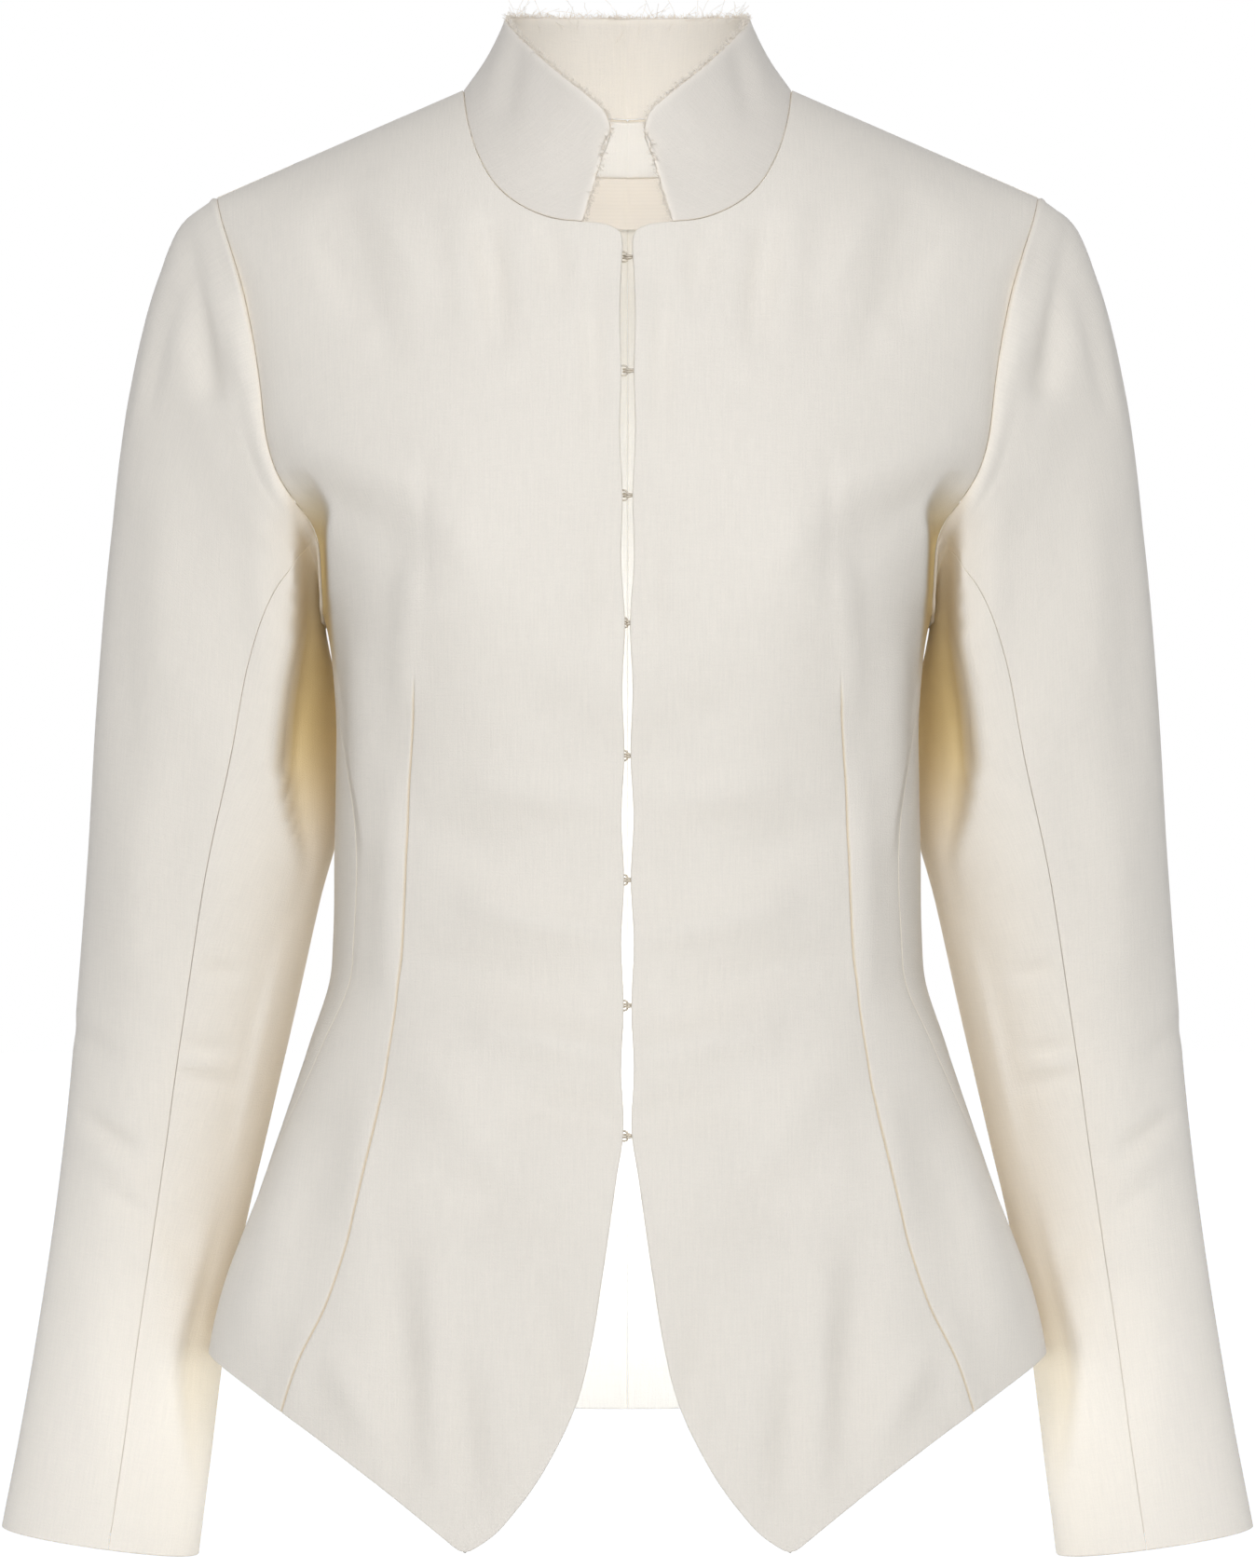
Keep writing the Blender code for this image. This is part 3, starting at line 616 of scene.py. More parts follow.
# Samples along the paths that the cloth is laid through
LINE_SAMPLES = 170
EDGE_SAMPLES = 1200
SEAM_SAMPLES = 800
RING_SAMPLES = 500
NECK_SAMPLES = 400
BACK_NECK_SAMPLES = 300
CORNER_SAMPLES = 120
# Rounds in which the lines across a panel are set level
LEVEL_ROUNDS = 6
# Rows and columns of the panels, sleeves, collar and label
LOWER_STEPS = 118
EDGE_STEPS = 46
CORNER_STEPS = 10
NECK_STEPS = 46
CENTRE_STEPS = 30
SIDE_STEPS = 24
SLEEVE_STEPS = 168
UPPER_STEPS = 74
UNDER_STEPS = 44
COLLAR_STEPS = 112
COLLAR_RISE_STEPS = 14
LABEL_STEPS = (61, 31)
# Points round a wire's path, sides of a wire and of a thread, and points of a thread
WIRE_STEPS = 97
WIRE_SIDES = 10
THREAD_SIDES = 3
THREAD_POINTS = 7

# Factors that mirror a point to the other side, and that leave only its level place
MIRRORED = np.array([-1.0, 1.0, 1.0])
LEVEL = np.array([1.0, 1.0, 0.0])


# ---------------------------------------------------------------- colours


def linear(hex_colour):
    """Linear RGB of an sRGB hex colour."""
    channels = [int(hex_colour[i : i + 2], 16) / 255 for i in (0, 2, 4)]
    return tuple(c / 12.92 if c <= 0.04045 else ((c + 0.055) / 1.055) ** 2.4 for c in channels)


# ---------------------------------------------------------------- settings in the sidebar


class JacketSizes(bpy.types.PropertyGroup):
    """Sizes that a user would change."""

    cloth: FloatProperty(
        name="Cloth thickness", description="Thickness of the folded linen",
        default=0.0017, min=0.001, max=0.002, unit="LENGTH",
    )
    facing: FloatProperty(
        name="Facing thickness", description="Thickness of the facings behind the edges",
        default=0.0011, min=0.0005, max=0.0012, unit="LENGTH",
    )
    collar: FloatProperty(
        name="Collar thickness", description="Thickness of the stand collar",
        default=0.0020, min=0.001, max=0.0022, unit="LENGTH",
    )
    seam_round: FloatProperty(
        name="Seam rounding", description="Radius at which a panel turns in to its seam",
        default=0.0004, min=0.0001, max=0.0008, unit="LENGTH",
    )
    folds: FloatProperty(
        name="Fold depth", description="Depth of the soft folds against that of the worn jacket",
        default=1.0, min=0.0, max=2.0, subtype="FACTOR",
    )
    wire: FloatProperty(
        name="Wire radius", description="Radius of the wire of the hooks and eyes",
        default=0.00042, min=0.0002, max=0.0005, unit="LENGTH",
    )
    thread: FloatProperty(
        name="Thread radius", description="Radius of a frayed thread",
        default=0.0001, min=0.00003, max=0.0003, unit="LENGTH",
    )
    fringe: IntProperty(
        name="Short threads", description="Frayed threads along the raw edge of the collar",
        default=2300, min=0, max=4000,
    )
    wisps: IntProperty(
        name="Long threads", description="Long loose threads along the back of the collar",
        default=110, min=0, max=400,
    )


class JacketColours(bpy.types.PropertyGroup):
    """Colours that a user would change."""

    linen: FloatVectorProperty(
        name="Linen", description="Ivory of the outer cloth", size=3, subtype="COLOR",
        default=linear("f0e5d1"), min=0.0, max=1.0,
    )
    collar: FloatVectorProperty(
        name="Collar", description="Ivory of the stiffened collar", size=3, subtype="COLOR",
        default=linear("e9decb"), min=0.0, max=1.0,
    )
    facing: FloatVectorProperty(
        name="Facing", description="Paler ivory inside the jacket", size=3, subtype="COLOR",
        default=linear("f2e9d9"), min=0.0, max=1.0,
    )
    thread: FloatVectorProperty(
        name="Thread", description="Pale ivory of the frayed threads", size=3, subtype="COLOR",
        default=linear("f8ecd8"), min=0.0, max=1.0,
    )
    label: FloatVectorProperty(
        name="Label", description="Woven tape of the bare label", size=3, subtype="COLOR",
        default=linear("f3e5d0"), min=0.0, max=1.0,
    )
    wire: FloatVectorProperty(
        name="Wire", description="Nickel-plated wire", size=3, subtype="COLOR",
        default=linear("cfc3ae"), min=0.0, max=1.0,
    )


class JacketStage(bpy.types.PropertyGroup):
    """Floor, light and camera."""

    floor_drop: FloatProperty(
        name="Floor", description="Distance from the neck down to the floor",
        default=1.40, min=0.7, unit="LENGTH",
    )
    around: FloatProperty(
        name="Light all round", description="Strength of the even studio light",
        default=0.12, min=0.0,
    )
    front: FloatProperty(
        name="Front light", description="Power of the large soft light by the camera",
        default=80.0, min=0.0, unit="POWER",
    )
    sides: FloatProperty(
        name="Side lights", description="Power of each soft light at the side, a little behind",
        default=26.0, min=0.0, unit="POWER",
    )
    top: FloatProperty(
        name="Top light", description="Power of the soft light above the shoulders",
        default=5.5, min=0.0, unit="POWER",
    )
    back: FloatProperty(
        name="Back light", description="Power of the large soft light behind the jacket",
        default=58.0, min=0.0, unit="POWER",
    )
    cuffs: FloatProperty(
        name="Cuff lights", description="Power of each narrow light on the lower part of a sleeve",
        default=0.036, min=0.0, unit="POWER",
    )
    inside: FloatProperty(
        name="Inside light", description="Power of the fill light that shows the inside of the back",
        default=0.62, min=0.0, unit="POWER",
    )
    hem: FloatProperty(
        name="Hem light", description="Power of the fill light inside the hem",
        default=0.17, min=0.0, unit="POWER",
    )
    camera_distance: FloatProperty(
        name="Camera distance", description="From the camera to the neck, level with it in depth",
        default=3.2, min=1.0, unit="LENGTH",
    )


# ---------------------------------------------------------------- curves and surfaces


def read(table, at):
    """Each later column of a table, at values of its first, by a smooth curve."""
    rows = np.array(table, float)
    key, values = rows[:, 0], rows[:, 1:]
    at = np.clip(np.asarray(at, float), key[0], key[-1])
    step = np.diff(key)
    rise = np.diff(values, axis=0) / step[:, None]
    share = (step[1:] / (step[1:] + step[:-1]))[:, None]
    slope = np.concatenate([rise[:1], rise[:-1] * share + rise[1:] * (1 - share), rise[-1:]])
    low = np.clip(np.searchsorted(key, at, side="right") - 1, 0, len(step) - 1)
    width = step[low]
    t = ((at - key[low]) / width)[..., None]
    width = width[..., None]
    found = (
        values[low] * (2 * t**3 - 3 * t**2 + 1)
        + slope[low] * width * (t**3 - 2 * t**2 + t)
        + values[low + 1] * (3 * t**2 - 2 * t**3)
        + slope[low + 1] * width * (t**3 - t**2)
    )
    return np.moveaxis(found, -1, 0)


def mix(first, second, share):
    return first + (second - first) * share


def eased(share):
    """0 to 1 with no corner at either end."""
    share = np.clip(share, 0, 1)
    return share * share * (3 - 2 * share)


def unit(vectors):
    return vectors / np.maximum(np.linalg.norm(vectors, axis=-1, keepdims=True), 1e-9)


def lengths_along(points):
    return np.concatenate([[0], np.cumsum(np.linalg.norm(np.diff(points, axis=0), axis=1))])


def at_lengths(points, lengths, wanted):
    """Points at the wanted lengths along a line."""
    return np.column_stack([np.interp(wanted, lengths, column) for column in points.T])


def smooth_path(points, count):
    """Evenly spaced points on a smooth curve through the given ones."""
    points = np.array(points, float)
    keys = lengths_along(points)
    fine = read(np.column_stack([keys, points]), np.linspace(0, keys[-1], 4 * count)).T
    lengths = lengths_along(fine)
    return at_lengths(fine, lengths, np.linspace(0, lengths[-1], count))


def shoulder_line(x):
    """Height of the shoulder seam, carried on over the neck."""
    return -(x - NECK_HALF) * SHOULDER_DROP / (SHOULDER_HALF - NECK_HALF)


def swell(x, z, fullness):
    centre, height, across, up, down, depth = fullness
    tall = np.where(z > height, up, down)
    return depth * np.exp(-(((x - centre) / across) ** 2) - ((z - height) / tall) ** 2)


def torso(angle, z):
    """Point of the body's outer surface at an angle from the centre front and a height."""
    half, front, back, widest, square = read(TORSO, z)
    turn = np.radians(angle)
    x = half * np.abs(np.sin(turn)) ** (2 / square)
    along = np.abs(np.cos(turn)) ** (2 / square)
    in_front = np.asarray(angle) <= 90
    y = np.where(in_front, widest - (front + widest) * along, widest + (back - widest) * along)
    share = (shoulder_line(x) - z) / (shoulder_line(x) - SHOULDER_ROUND_END)
    y = y * (1 - (1 - np.clip(share, 0, 1)) ** 2) ** SHOULDER_ROUNDNESS
    full = np.where(in_front, -swell(x, z, BUST), swell(x, z, SHOULDER_BLADE)) * along
    turn_at, lost = read(UNDERARM_TURN, z)
    y = (y + full) * (1 - in_front * lost * eased((x - turn_at) / UNDERARM_TURN_WIDTH))
    return np.stack([x, y, z + 0 * x], axis=-1)


def angle_at(x, z, behind):
    """Angle round the body of a point this far across."""
    half, _, _, _, square = read(TORSO, z)
    angle = np.degrees(np.arcsin(np.clip(x / half, 0, 1) ** (square / 2)))
    return 180 - angle if behind else angle


def side_seam_angle(z):
    """Angle round the body of the side seam, from its depth."""
    _, front, _, widest, square = read(TORSO, z)
    (depth,) = read(SIDE_SEAM, z)
    share = np.clip((widest - depth) / (front + widest), 0, 1)
    return np.degrees(np.arccos(share ** (square / 2)))


def folds(points, table, strength=1.0):
    """Height of the soft folds in a table, over points seen from the front or the back."""
    x, z = points[..., 0], points[..., 2]
    total = np.zeros(x.shape)
    for x0, z0, x1, z1, width, height in table:
        dx, dz = x1 - x0, z1 - z0
        along = np.clip(((x - x0) * dx + (z - z0) * dz) / (dx * dx + dz * dz), 0, 1)
        away = (x - x0 - along * dx) ** 2 + (z - z0 - along * dz) ** 2
        swelling = np.sin(np.pi * mix(FOLD_START, 1 - FOLD_START, along))
        total += height * mix(FOLD_LEAST, 1, swelling) * np.exp(-away / width**2)
    return total * strength


def normals_of(grid):
    """Directions square to a grid."""
    return unit(np.cross(np.gradient(grid, axis=1), np.gradient(grid, axis=0)))


def normals_away(grid, middle):
    """Directions square to a grid, on the side that faces away from its middle."""
    normals = normals_of(grid)
    return normals if (normals * (grid - middle)).sum() >= 0 else -normals


# ---------------------------------------------------------------- cloth walls


def close_steps(length, count, start=1.0, end=1.0):
    """Distances along a line: close together by both ends and even between them."""
    near = np.array(CLOSE)
    first, last = near * start, length - near[::-1] * end
    middle = np.linspace(first[-1], last[0], count + 2)[1:-1]
    return np.concatenate([first, middle, last])


def darted_steps(length, dart, start, end):
    """The same, also close together beside a dart that crosses the line."""
    near, beside = np.array(CLOSE), np.array(BESIDE_DART)
    first, last = near * start, length - near[::-1] * end
    centre = np.linspace(first[-1], dart + beside[0], CENTRE_STEPS + 2)[1:-1]
    side = np.linspace(dart + beside[-1], last[0], SIDE_STEPS + 2)[1:-1]
    return np.concatenate([first, centre, dart + beside, side, last])


def slant(first, second):
    """How squarely two directions meet, or the least share that is allowed."""
    return np.maximum(np.linalg.norm(np.cross(unit(first), unit(second)), axis=-1), LEAST_SLANT)


def run_lengths(grid, axis):
    """Length of cloth up to each point, along its rows for axis 1 or its columns for 0."""
    steps = np.linalg.norm(np.diff(grid, axis=axis), axis=2)
    before = ((0, 0), (1, 0)) if axis else ((1, 0), (0, 0))
    return np.pad(np.cumsum(steps, axis=axis), before)


def edge_distances(grid):
    """Distance of each point from the four edges of its grid, near those edges."""
    across, up = run_lengths(grid, 1), run_lengths(grid, 0)
    sides = {
        "left": (across, grid[:, 0], grid[:, EDGE_REACH], 1),
        "right": (across[:, -1:] - across, grid[:, -1], grid[:, -1 - EDGE_REACH], 1),
        "bottom": (up, grid[0], grid[EDGE_REACH], 0),
        "top": (up[-1:] - up, grid[-1], grid[-1 - EDGE_REACH], 0),
    }
    found = {}
    for side, (distance, edge, inside, axis) in sides.items():
        square = slant(np.gradient(edge, axis=0), inside - edge)
        found[side] = distance * (square[:, None] if axis else square)
    return found


def rolled(distance, radius):
    """How far a rounded edge has turned away at a distance from it."""
    inside = np.clip(radius - distance, 0, None)
    return radius - np.sqrt(np.clip(radius**2 - inside**2, 0, None))


def rounded_corner(grid, across, up, to_side, to_end):
    """The grid with one corner of the cloth turned to an arc."""
    p = np.stack([CORNER_ROUND - across, CORNER_ROUND - up])
    near = (p > 0).all(axis=0)
    shrink = np.where(near, p.max(axis=0) / np.maximum(np.hypot(*p), 1e-9), 1)
    moved = p * shrink - p
    return grid + to_side * moved[0][..., None] + to_end * moved[1][..., None]


def new_mesh(name, points, faces, uv, material):
    """An object at the origin, smooth, with its faces outward."""
    points = np.asarray(points, float) * MM
    faces = np.asarray(faces)
    a, b, c = (points[faces[:, i]] for i in (0, 1, 2))
    d = points[faces[:, 3]]
    volume = np.einsum("ij,ij->", a, np.cross(b, c)) + np.einsum("ij,ij->", a, np.cross(c, d))
    if volume < 0:
        faces = faces[:, ::-1]
    mesh = bpy.data.meshes.new(name)
    mesh.from_pydata(points.tolist(), [], faces.tolist())
    mesh.update()
    mesh.shade_smooth()
    corners = np.empty(len(mesh.loops), np.int32)
    mesh.loops.foreach_get("vertex_index", corners)
    layer = mesh.uv_layers.new(name="cloth")
    layer.data.foreach_set("uv", (np.asarray(uv)[corners] * MM).astype(np.float32).ravel())
    mesh.materials.append(material)
    thing = bpy.data.objects.new(name, mesh)
    bpy.context.scene.collection.objects.link(thing)
    return thing


def cloth_wall(name, outer, inner, uv, material, mirror=False, crease=None):
    """A closed wall from the grids of its outer and inner points."""
    rows, columns = outer.shape[:2]
    ids = np.arange(rows * columns).reshape(rows, columns)
    count = ids.size
    grid_faces = np.stack([ids[:-1, :-1], ids[:-1, 1:], ids[1:, 1:], ids[1:, :-1]], -1).reshape(-1, 4)
    loop = np.concatenate([ids[0, :-1], ids[:-1, -1], ids[-1, :0:-1], ids[:0:-1, 0]])
    after = np.roll(loop, -1)
    rim = np.stack([after, loop, loop + count, after + count], -1)
    faces = np.concatenate([grid_faces, grid_faces[:, ::-1] + count, rim])
    points = np.concatenate([outer.reshape(-1, 3), inner.reshape(-1, 3)])
    if mirror:
        points = points * MIRRORED
    flat = np.asarray(uv).reshape(-1, 2)
    piece = new_mesh(name, points, faces, np.concatenate([flat, flat]), material)
    # Painted shade in the creases, fainter on the inner side of the wall
    if crease is not None:
        set_shares(piece, "crease", crease, INNER_SHADE * crease)
    return piece


def set_shares(piece, name, outer, inner):
    """An attribute for the piece's material: a share for each outer and each inner point."""
    layer = piece.data.attributes.new(name, "FLOAT", "POINT")
    layer.data.foreach_set("value", np.concatenate([outer, inner]).ravel().astype(np.float32))


def seam_shades(distances, strengths):
    """Share of painted shade at each point, in the crease of a seam, for seams of given strengths."""
    lines = [
        share * np.exp(-((distances[side] / SHADE_WIDTH) ** 2)) for side, share in strengths.items()
    ]
    return np.max(lines, axis=0)


def shaped_wall(surface, outward, thickness, radii, distances):
    """Outer and inner grids of cloth whose edges are rounded to the given radii."""
    turned = np.zeros(surface.shape[:2])
    for side, radius in radii.items():
        turned = np.maximum(turned, rolled(distances[side], radius))
    return surface - outward * turned[..., None], surface - outward * (thickness - turned)[..., None]


def cloth_map(grid):
    """Places of the points on the flat cloth, in millimetres: across and up the grain."""
    steps = np.diff(grid, axis=1)
    across = np.hypot(steps[..., 0], steps[..., 1])
    u = np.pad(np.cumsum(across, axis=1), ((0, 0), (1, 0))) + grid[:, :1, 0]
    climb = np.diff(grid, axis=0)
    up = np.sign(climb[..., 2]) * np.hypot(climb[..., 1], climb[..., 2])
    v = np.pad(np.cumsum(up, axis=0), ((1, 0), (0, 0))) + grid[:1, :, 2]
    return np.stack([u, v], -1)


# ---------------------------------------------------------------- fronts and backs


def front_edge_path():
    """Inner boundary of a front below and above the underarm: across and height."""
    z = np.linspace(FRONT_POINT, FRONT_EDGE[-1][0], EDGE_SAMPLES)
    (x,) = read(FRONT_EDGE, z)
    lower = np.column_stack([x, z])
    corner = smooth_path([lower[-8], lower[-1], *FRONT_CORNER, FRONT_NECK[0]], CORNER_SAMPLES)
    neck = smooth_path(FRONT_NECK, NECK_SAMPLES)
    whole = np.concatenate([lower[:-8], corner, neck[1:]])
    split = int(np.searchsorted(z, UNDERARM))
    return whole[: split + 1], whole[split:]


def back_centre_path():
    """Inner boundary of a back below and above the underarm: across and height."""
    z = np.linspace(BACK_HEM, BACK_NECK[0][1], EDGE_SAMPLES)
    neck = smooth_path(BACK_NECK, BACK_NECK_SAMPLES)
    whole = np.concatenate([np.column_stack([0 * z, z]), neck[1:]])
    split = int(np.searchsorted(z, UNDERARM))
    return whole[: split + 1], whole[split:]


def lower_shares(length):
    """Rows from the hem to the underarm, close together at the hem: shares of a length."""
    near = np.array((0.0,) + CLOSE[1:]) / length
    return np.concatenate([near, np.linspace(near[-1], 1, LOWER_STEPS)[1:]])


def upper_shares(inner_lengths, corner_at):
    """Rows from the underarm to the shoulder, close together round the neck's corner."""
    total = inner_lengths[-1]
    top = total - np.array(CLOSE)[::-1]
    before, after = corner_at - CORNER_SPAN, corner_at + CORNER_SPAN
    rows = np.concatenate([
        np.linspace(0, before, EDGE_STEPS)[1:],
        np.linspace(before, after, CORNER_STEPS + 2)[1:],
        np.linspace(after, top[0], NECK_STEPS + 1)[1:],
        top[1:],
    ])
    return rows / total


def panel_ends(inner_paths, armhole, corner, behind):
    """Both ends of each line across a panel, as angles round the body and heights, and how
    much of the hem's bow the line takes."""
    side_z = np.linspace(SIDE_HEM, UNDERARM, SEAM_SAMPLES)
    side_angle = side_seam_angle(side_z)
    side_angle[-1] = armhole[0][1]
    hole = smooth_path(np.array(armhole)[:, ::-1], SEAM_SAMPLES)
    outer_paths = (np.column_stack([side_angle, side_z]), hole)
    ends = []
    for below, inner, outer in zip((True, False), inner_paths, outer_paths):
        inner_lengths = lengths_along(torso(angle_at(*inner.T, behind), inner[:, 1]))
        outer_lengths = lengths_along(torso(*outer.T))
        if below:
            inner_shares, outer_shares = lower_shares(inner_lengths[-1]), lower_shares(outer_lengths[-1])
        else:
            corner_at = inner_lengths[np.argmin(np.hypot(*(inner - np.array(corner)).T))]
            inner_shares = outer_shares = upper_shares(inner_lengths, corner_at)
        inner_at = inner_shares * inner_lengths[-1]
        x_in, z_in = at_lengths(inner, inner_lengths, inner_at).T
        angle_out, z_out = at_lengths(outer, outer_lengths, outer_shares * outer_lengths[-1]).T
        bowed = np.clip(1 - inner_at / HEM_BOW_REACH, 0, 1) if below else 0 * inner_at
        ends.append((angle_at(x_in, z_in, behind), angle_out, z_in, z_out, bowed))
    return [np.concatenate(part)[:, None] for part in zip(*ends)]


def body_panel(inner_paths, armhole, corner, dart, hem_bow, behind):
    """Smooth points of a front or a back, with rows running from its centre to its side."""
    angle_in, angle_out, z_in, z_out, bowed = panel_ends(inner_paths, armhole, corner, behind)
    share = np.linspace(0, 1, LINE_SAMPLES)
    angles, z = mix(angle_in, angle_out, share), mix(z_in, z_out, share)
    for _ in range(LEVEL_ROUNDS):
        x = torso(angles, z)[..., 0]
        share = (x - x[:, :1]) / (x[:, -1:] - x[:, :1])
        z = mix(z_in, z_out, share) + hem_bow * bowed * 4 * share * (1 - share)
    lines = torso(angles, z)

    start = 1 / slant(np.gradient(lines[:, 0], axis=0), lines[:, 4] - lines[:, 0])
    end = 1 / slant(np.gradient(lines[:, -1], axis=0), lines[:, -5] - lines[:, -1])
    rows = []
    for line, first, last in zip(lines, start, end):
        lengths = lengths_along(line)
        past_dart = line[:, 0] - read(dart, line[:, 2])[0]
        dart_at = np.clip(
            np.interp(0, past_dart, lengths),
            CLOSE[-1] * first + DART_ROOM,
            lengths[-1] - CLOSE[-1] * last - DART_ROOM,
        )
        rows.append(at_lengths(line, lengths, darted_steps(lengths[-1], dart_at, first, last)))
    return np.array(rows)


@functools.cache
def front_points():
    return body_panel(
        front_edge_path(), ARMHOLE_FRONT, FRONT_CORNER[1], FRONT_DART, FRONT_HEM_BOW, False
    )


@functools.cache
def back_points():
    return body_panel(
        back_centre_path(), ARMHOLE_BACK, BACK_NECK[0], BACK_DART, BACK_HEM_BOW, True
    )


def beside_dart(points, dart, top):
    """Distance of each point from a dart, and how much of the dart there is at its height."""
    x, z = points[..., 0], points[..., 2]
    return x - read(dart, z)[0], eased((top - z) / DART_FADE) * (z < top)


def dart_groove(points, dart, top):
    """The pressed line of a dart, fading out at its top."""
    away, fade = beside_dart(points, dart, top)
    line = DART_LINE * np.exp(-((away / DART_LINE_WIDTH) ** 2))
    dip = SEAM_DIP * np.exp(-((away / SEAM_DIP_REACH) ** 2))
    return -(line + dip) * fade


def calm_at_seams(grid):
    """Share of a panel's folds that is left near its side, armhole and shoulder seams."""
    distances = edge_distances(grid)
    return eased(distances["right"] / FOLD_FADE) * eased(distances["top"] / FOLD_FADE)


def calm_low(grid):
    """1 on the side seam and 0 on the armhole, which has no hollow on the body's side."""
    return eased((UNDERARM - grid[:, -1:, 2]) / SIDE_FADE)


def folded_front(strength):
    """Points of a front, directions out of its cloth, and the height of its folds, with the
    dips that the hooks pull in its edge."""
    grid = front_points()
    x, z = grid[..., 0], grid[..., 2]
    pulls = sum(np.exp(-(((z - level) / HOOK_PULL_TALL) ** 2)) for level in HOOK_LEVELS)
    pulls = HOOK_PULL * strength * pulls * np.exp(-((x / HOOK_PULL_WIDE) ** 2))
    relief = (folds(grid, FRONT_FOLDS, strength) - pulls) * calm_at_seams(grid)
    return grid, ridge_up(normals_of(grid)), relief


def folded_back(strength):
    """Points of a back, directions out of its cloth, and the height of its folds."""
    grid = back_points()
    relief = folds(grid, BACK_FOLDS, strength) * calm_at_seams(grid)
    return grid, ridge_up(-normals_of(grid)), relief


def panel_shades(grid, distances, dart, dart_top, **others):
    """Share of painted shade at each point of a front or a back, in the crease of its dart or a seam."""
    away, fade = beside_dart(grid, dart, dart_top)
    dart_line = DART_SHADE * np.exp(-((away / SHADE_WIDTH) ** 2)) * fade
    side = mix(*SIDE_SHADE, calm_low(grid))
    seams = {"right": side, "top": SHOULDER_SHADE, "bottom": HEM_SHADE, **others}
    return np.maximum(dart_line, seam_shades(distances, seams))


def seam_dips(distances, sides):
    """Shallow hollows beside the named seams."""
    return -sum(SEAM_DIP * np.exp(-((distances[side] / SEAM_DIP_REACH) ** 2)) for side in sides)


def directions(grid):
    """Unit directions to the left and down along the cloth."""
    return -unit(np.gradient(grid, axis=1)), -unit(np.gradient(grid, axis=0))


def ridge_up(outward):
    """The directions, with those on the shoulder seam turned straight up out of it."""
    along = unit(np.array([SHOULDER_HALF - NECK_HALF, 0.0, -SHOULDER_DROP]))
    turned = outward.copy()
    turned[-1] = (-along[2], 0.0, along[0])
    return turned


def declare(piece, node):
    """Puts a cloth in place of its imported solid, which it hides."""
    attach(piece, "root")
    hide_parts(node)


def make_pair(name, walls, material, grid, uv=None, crease=None):
    """The left cloth of a pair, and its mirror image on the right."""
    uv = cloth_map(grid) if uv is None else uv
    for side, mirror in (("left", False), ("right", True)):
        piece = cloth_wall(f"{name}_cloth_{side}", *walls, uv, material, mirror, crease)
        declare(piece, f"{name}_{side}")


def make_fronts(sizes, colours):
    """Left and right fronts, each in one piece with its dart."""
    thickness, seam = sizes.cloth / MM, sizes.seam_round / MM
    grid, outward, relief = folded_front(sizes.folds)
    distances = edge_distances(grid)
    to_left, down = directions(grid)
    relief += dart_groove(grid, FRONT_DART, DART_TOP)
    relief += seam_dips(distances, ("right",)) * calm_low(grid)
    neck_x, neck_z = FRONT_NECK[0]
    below = grid[:, :1, 2] < neck_z - COLLAR_START_DROP
    free = below | (grid[:, :1, 0] < neck_x - COLLAR_START_ROOM)
    near_line = np.exp(-(((distances["left"] - FACING_LINE_AT) / FACING_LINE_WIDTH) ** 2))
    relief -= FACING_LINE * near_line * free
    surface = grid + outward * relief[..., None]
    surface = rounded_corner(surface, distances["left"], distances["bottom"], to_left, down)
    surface = rounded_corner(surface, distances["right"], distances["bottom"], -to_left, down)
    centre = np.where(free, FRONT_EDGE_ROUND * thickness, seam)
    radii = {"left": centre, "right": seam, "top": seam, "bottom": HEM_ROUND * thickness}
    walls = shaped_wall(surface, outward, thickness, radii, distances)
    # Painted warm shade where the front turns in under the arm, and painted shade in its dart and seams
    turn_at, lost = read(UNDERARM_TURN, grid[..., 2])
    turned = eased((grid[..., 0] - turn_at) / UNDERARM_TURN_WIDTH)
    underarm_shade = WARM_HOLLOW * lost / DEEPEST_LOSS * turned
    crease = np.maximum(panel_shades(grid, distances, FRONT_DART, DART_TOP), underarm_shade)
    cloth = linen("ivory_linen", colours.linen)
    make_pair("front", walls, cloth, grid, crease=crease)


def make_backs(sizes, colours):
    """Left and right backs, joined down the centre."""
    thickness, seam = sizes.cloth / MM, sizes.seam_round / MM
    grid, outward, relief = folded_back(sizes.folds)
    centre = grid[:, 0, 0] < 1.0
    outward[centre, 0] = unit(outward[centre, 0] * np.array([0.0, 1.0, 1.0]))
    distances = edge_distances(grid)
    to_left, down = directions(grid)
    relief += dart_groove(grid, BACK_DART, BACK_DART_TOP)
    relief += seam_dips(distances, ("left",)) + seam_dips(distances, ("right",)) * calm_low(grid)
    surface = grid + outward * relief[..., None]
    surface = rounded_corner(surface, distances["right"], distances["bottom"], -to_left, down)
    radii = {"left": seam, "right": seam, "top": seam, "bottom": HEM_ROUND * thickness}
    walls = shaped_wall(surface, outward, thickness, radii, distances)
    # Painted shade in the dart and seams, and down the centre back
    crease = panel_shades(grid, distances, BACK_DART, BACK_DART_TOP, left=CENTRE_BACK_SHADE)
    cloth = linen("ivory_linen", colours.linen)
    make_pair("back", walls, cloth, grid, crease=crease)


# ---------------------------------------------------------------- facings and label


def inner_strip(surface, outward, recess, widths):
    """A strip beside the first column, set back a little from every edge."""
    rows, ways = [], []
    for line, way, width in zip(surface, outward, widths):
        lengths = lengths_along(line)
        even = np.linspace(FACING_EVEN, width - recess, FACING_STEPS)
        at = recess + np.concatenate([FACING_CLOSE, even])
        rows.append(at_lengths(line, lengths, at))
        ways.append(unit(at_lengths(way, lengths, at)))
    inside = slice(3, -3)
    return np.array(rows)[inside], np.array(ways)[inside]


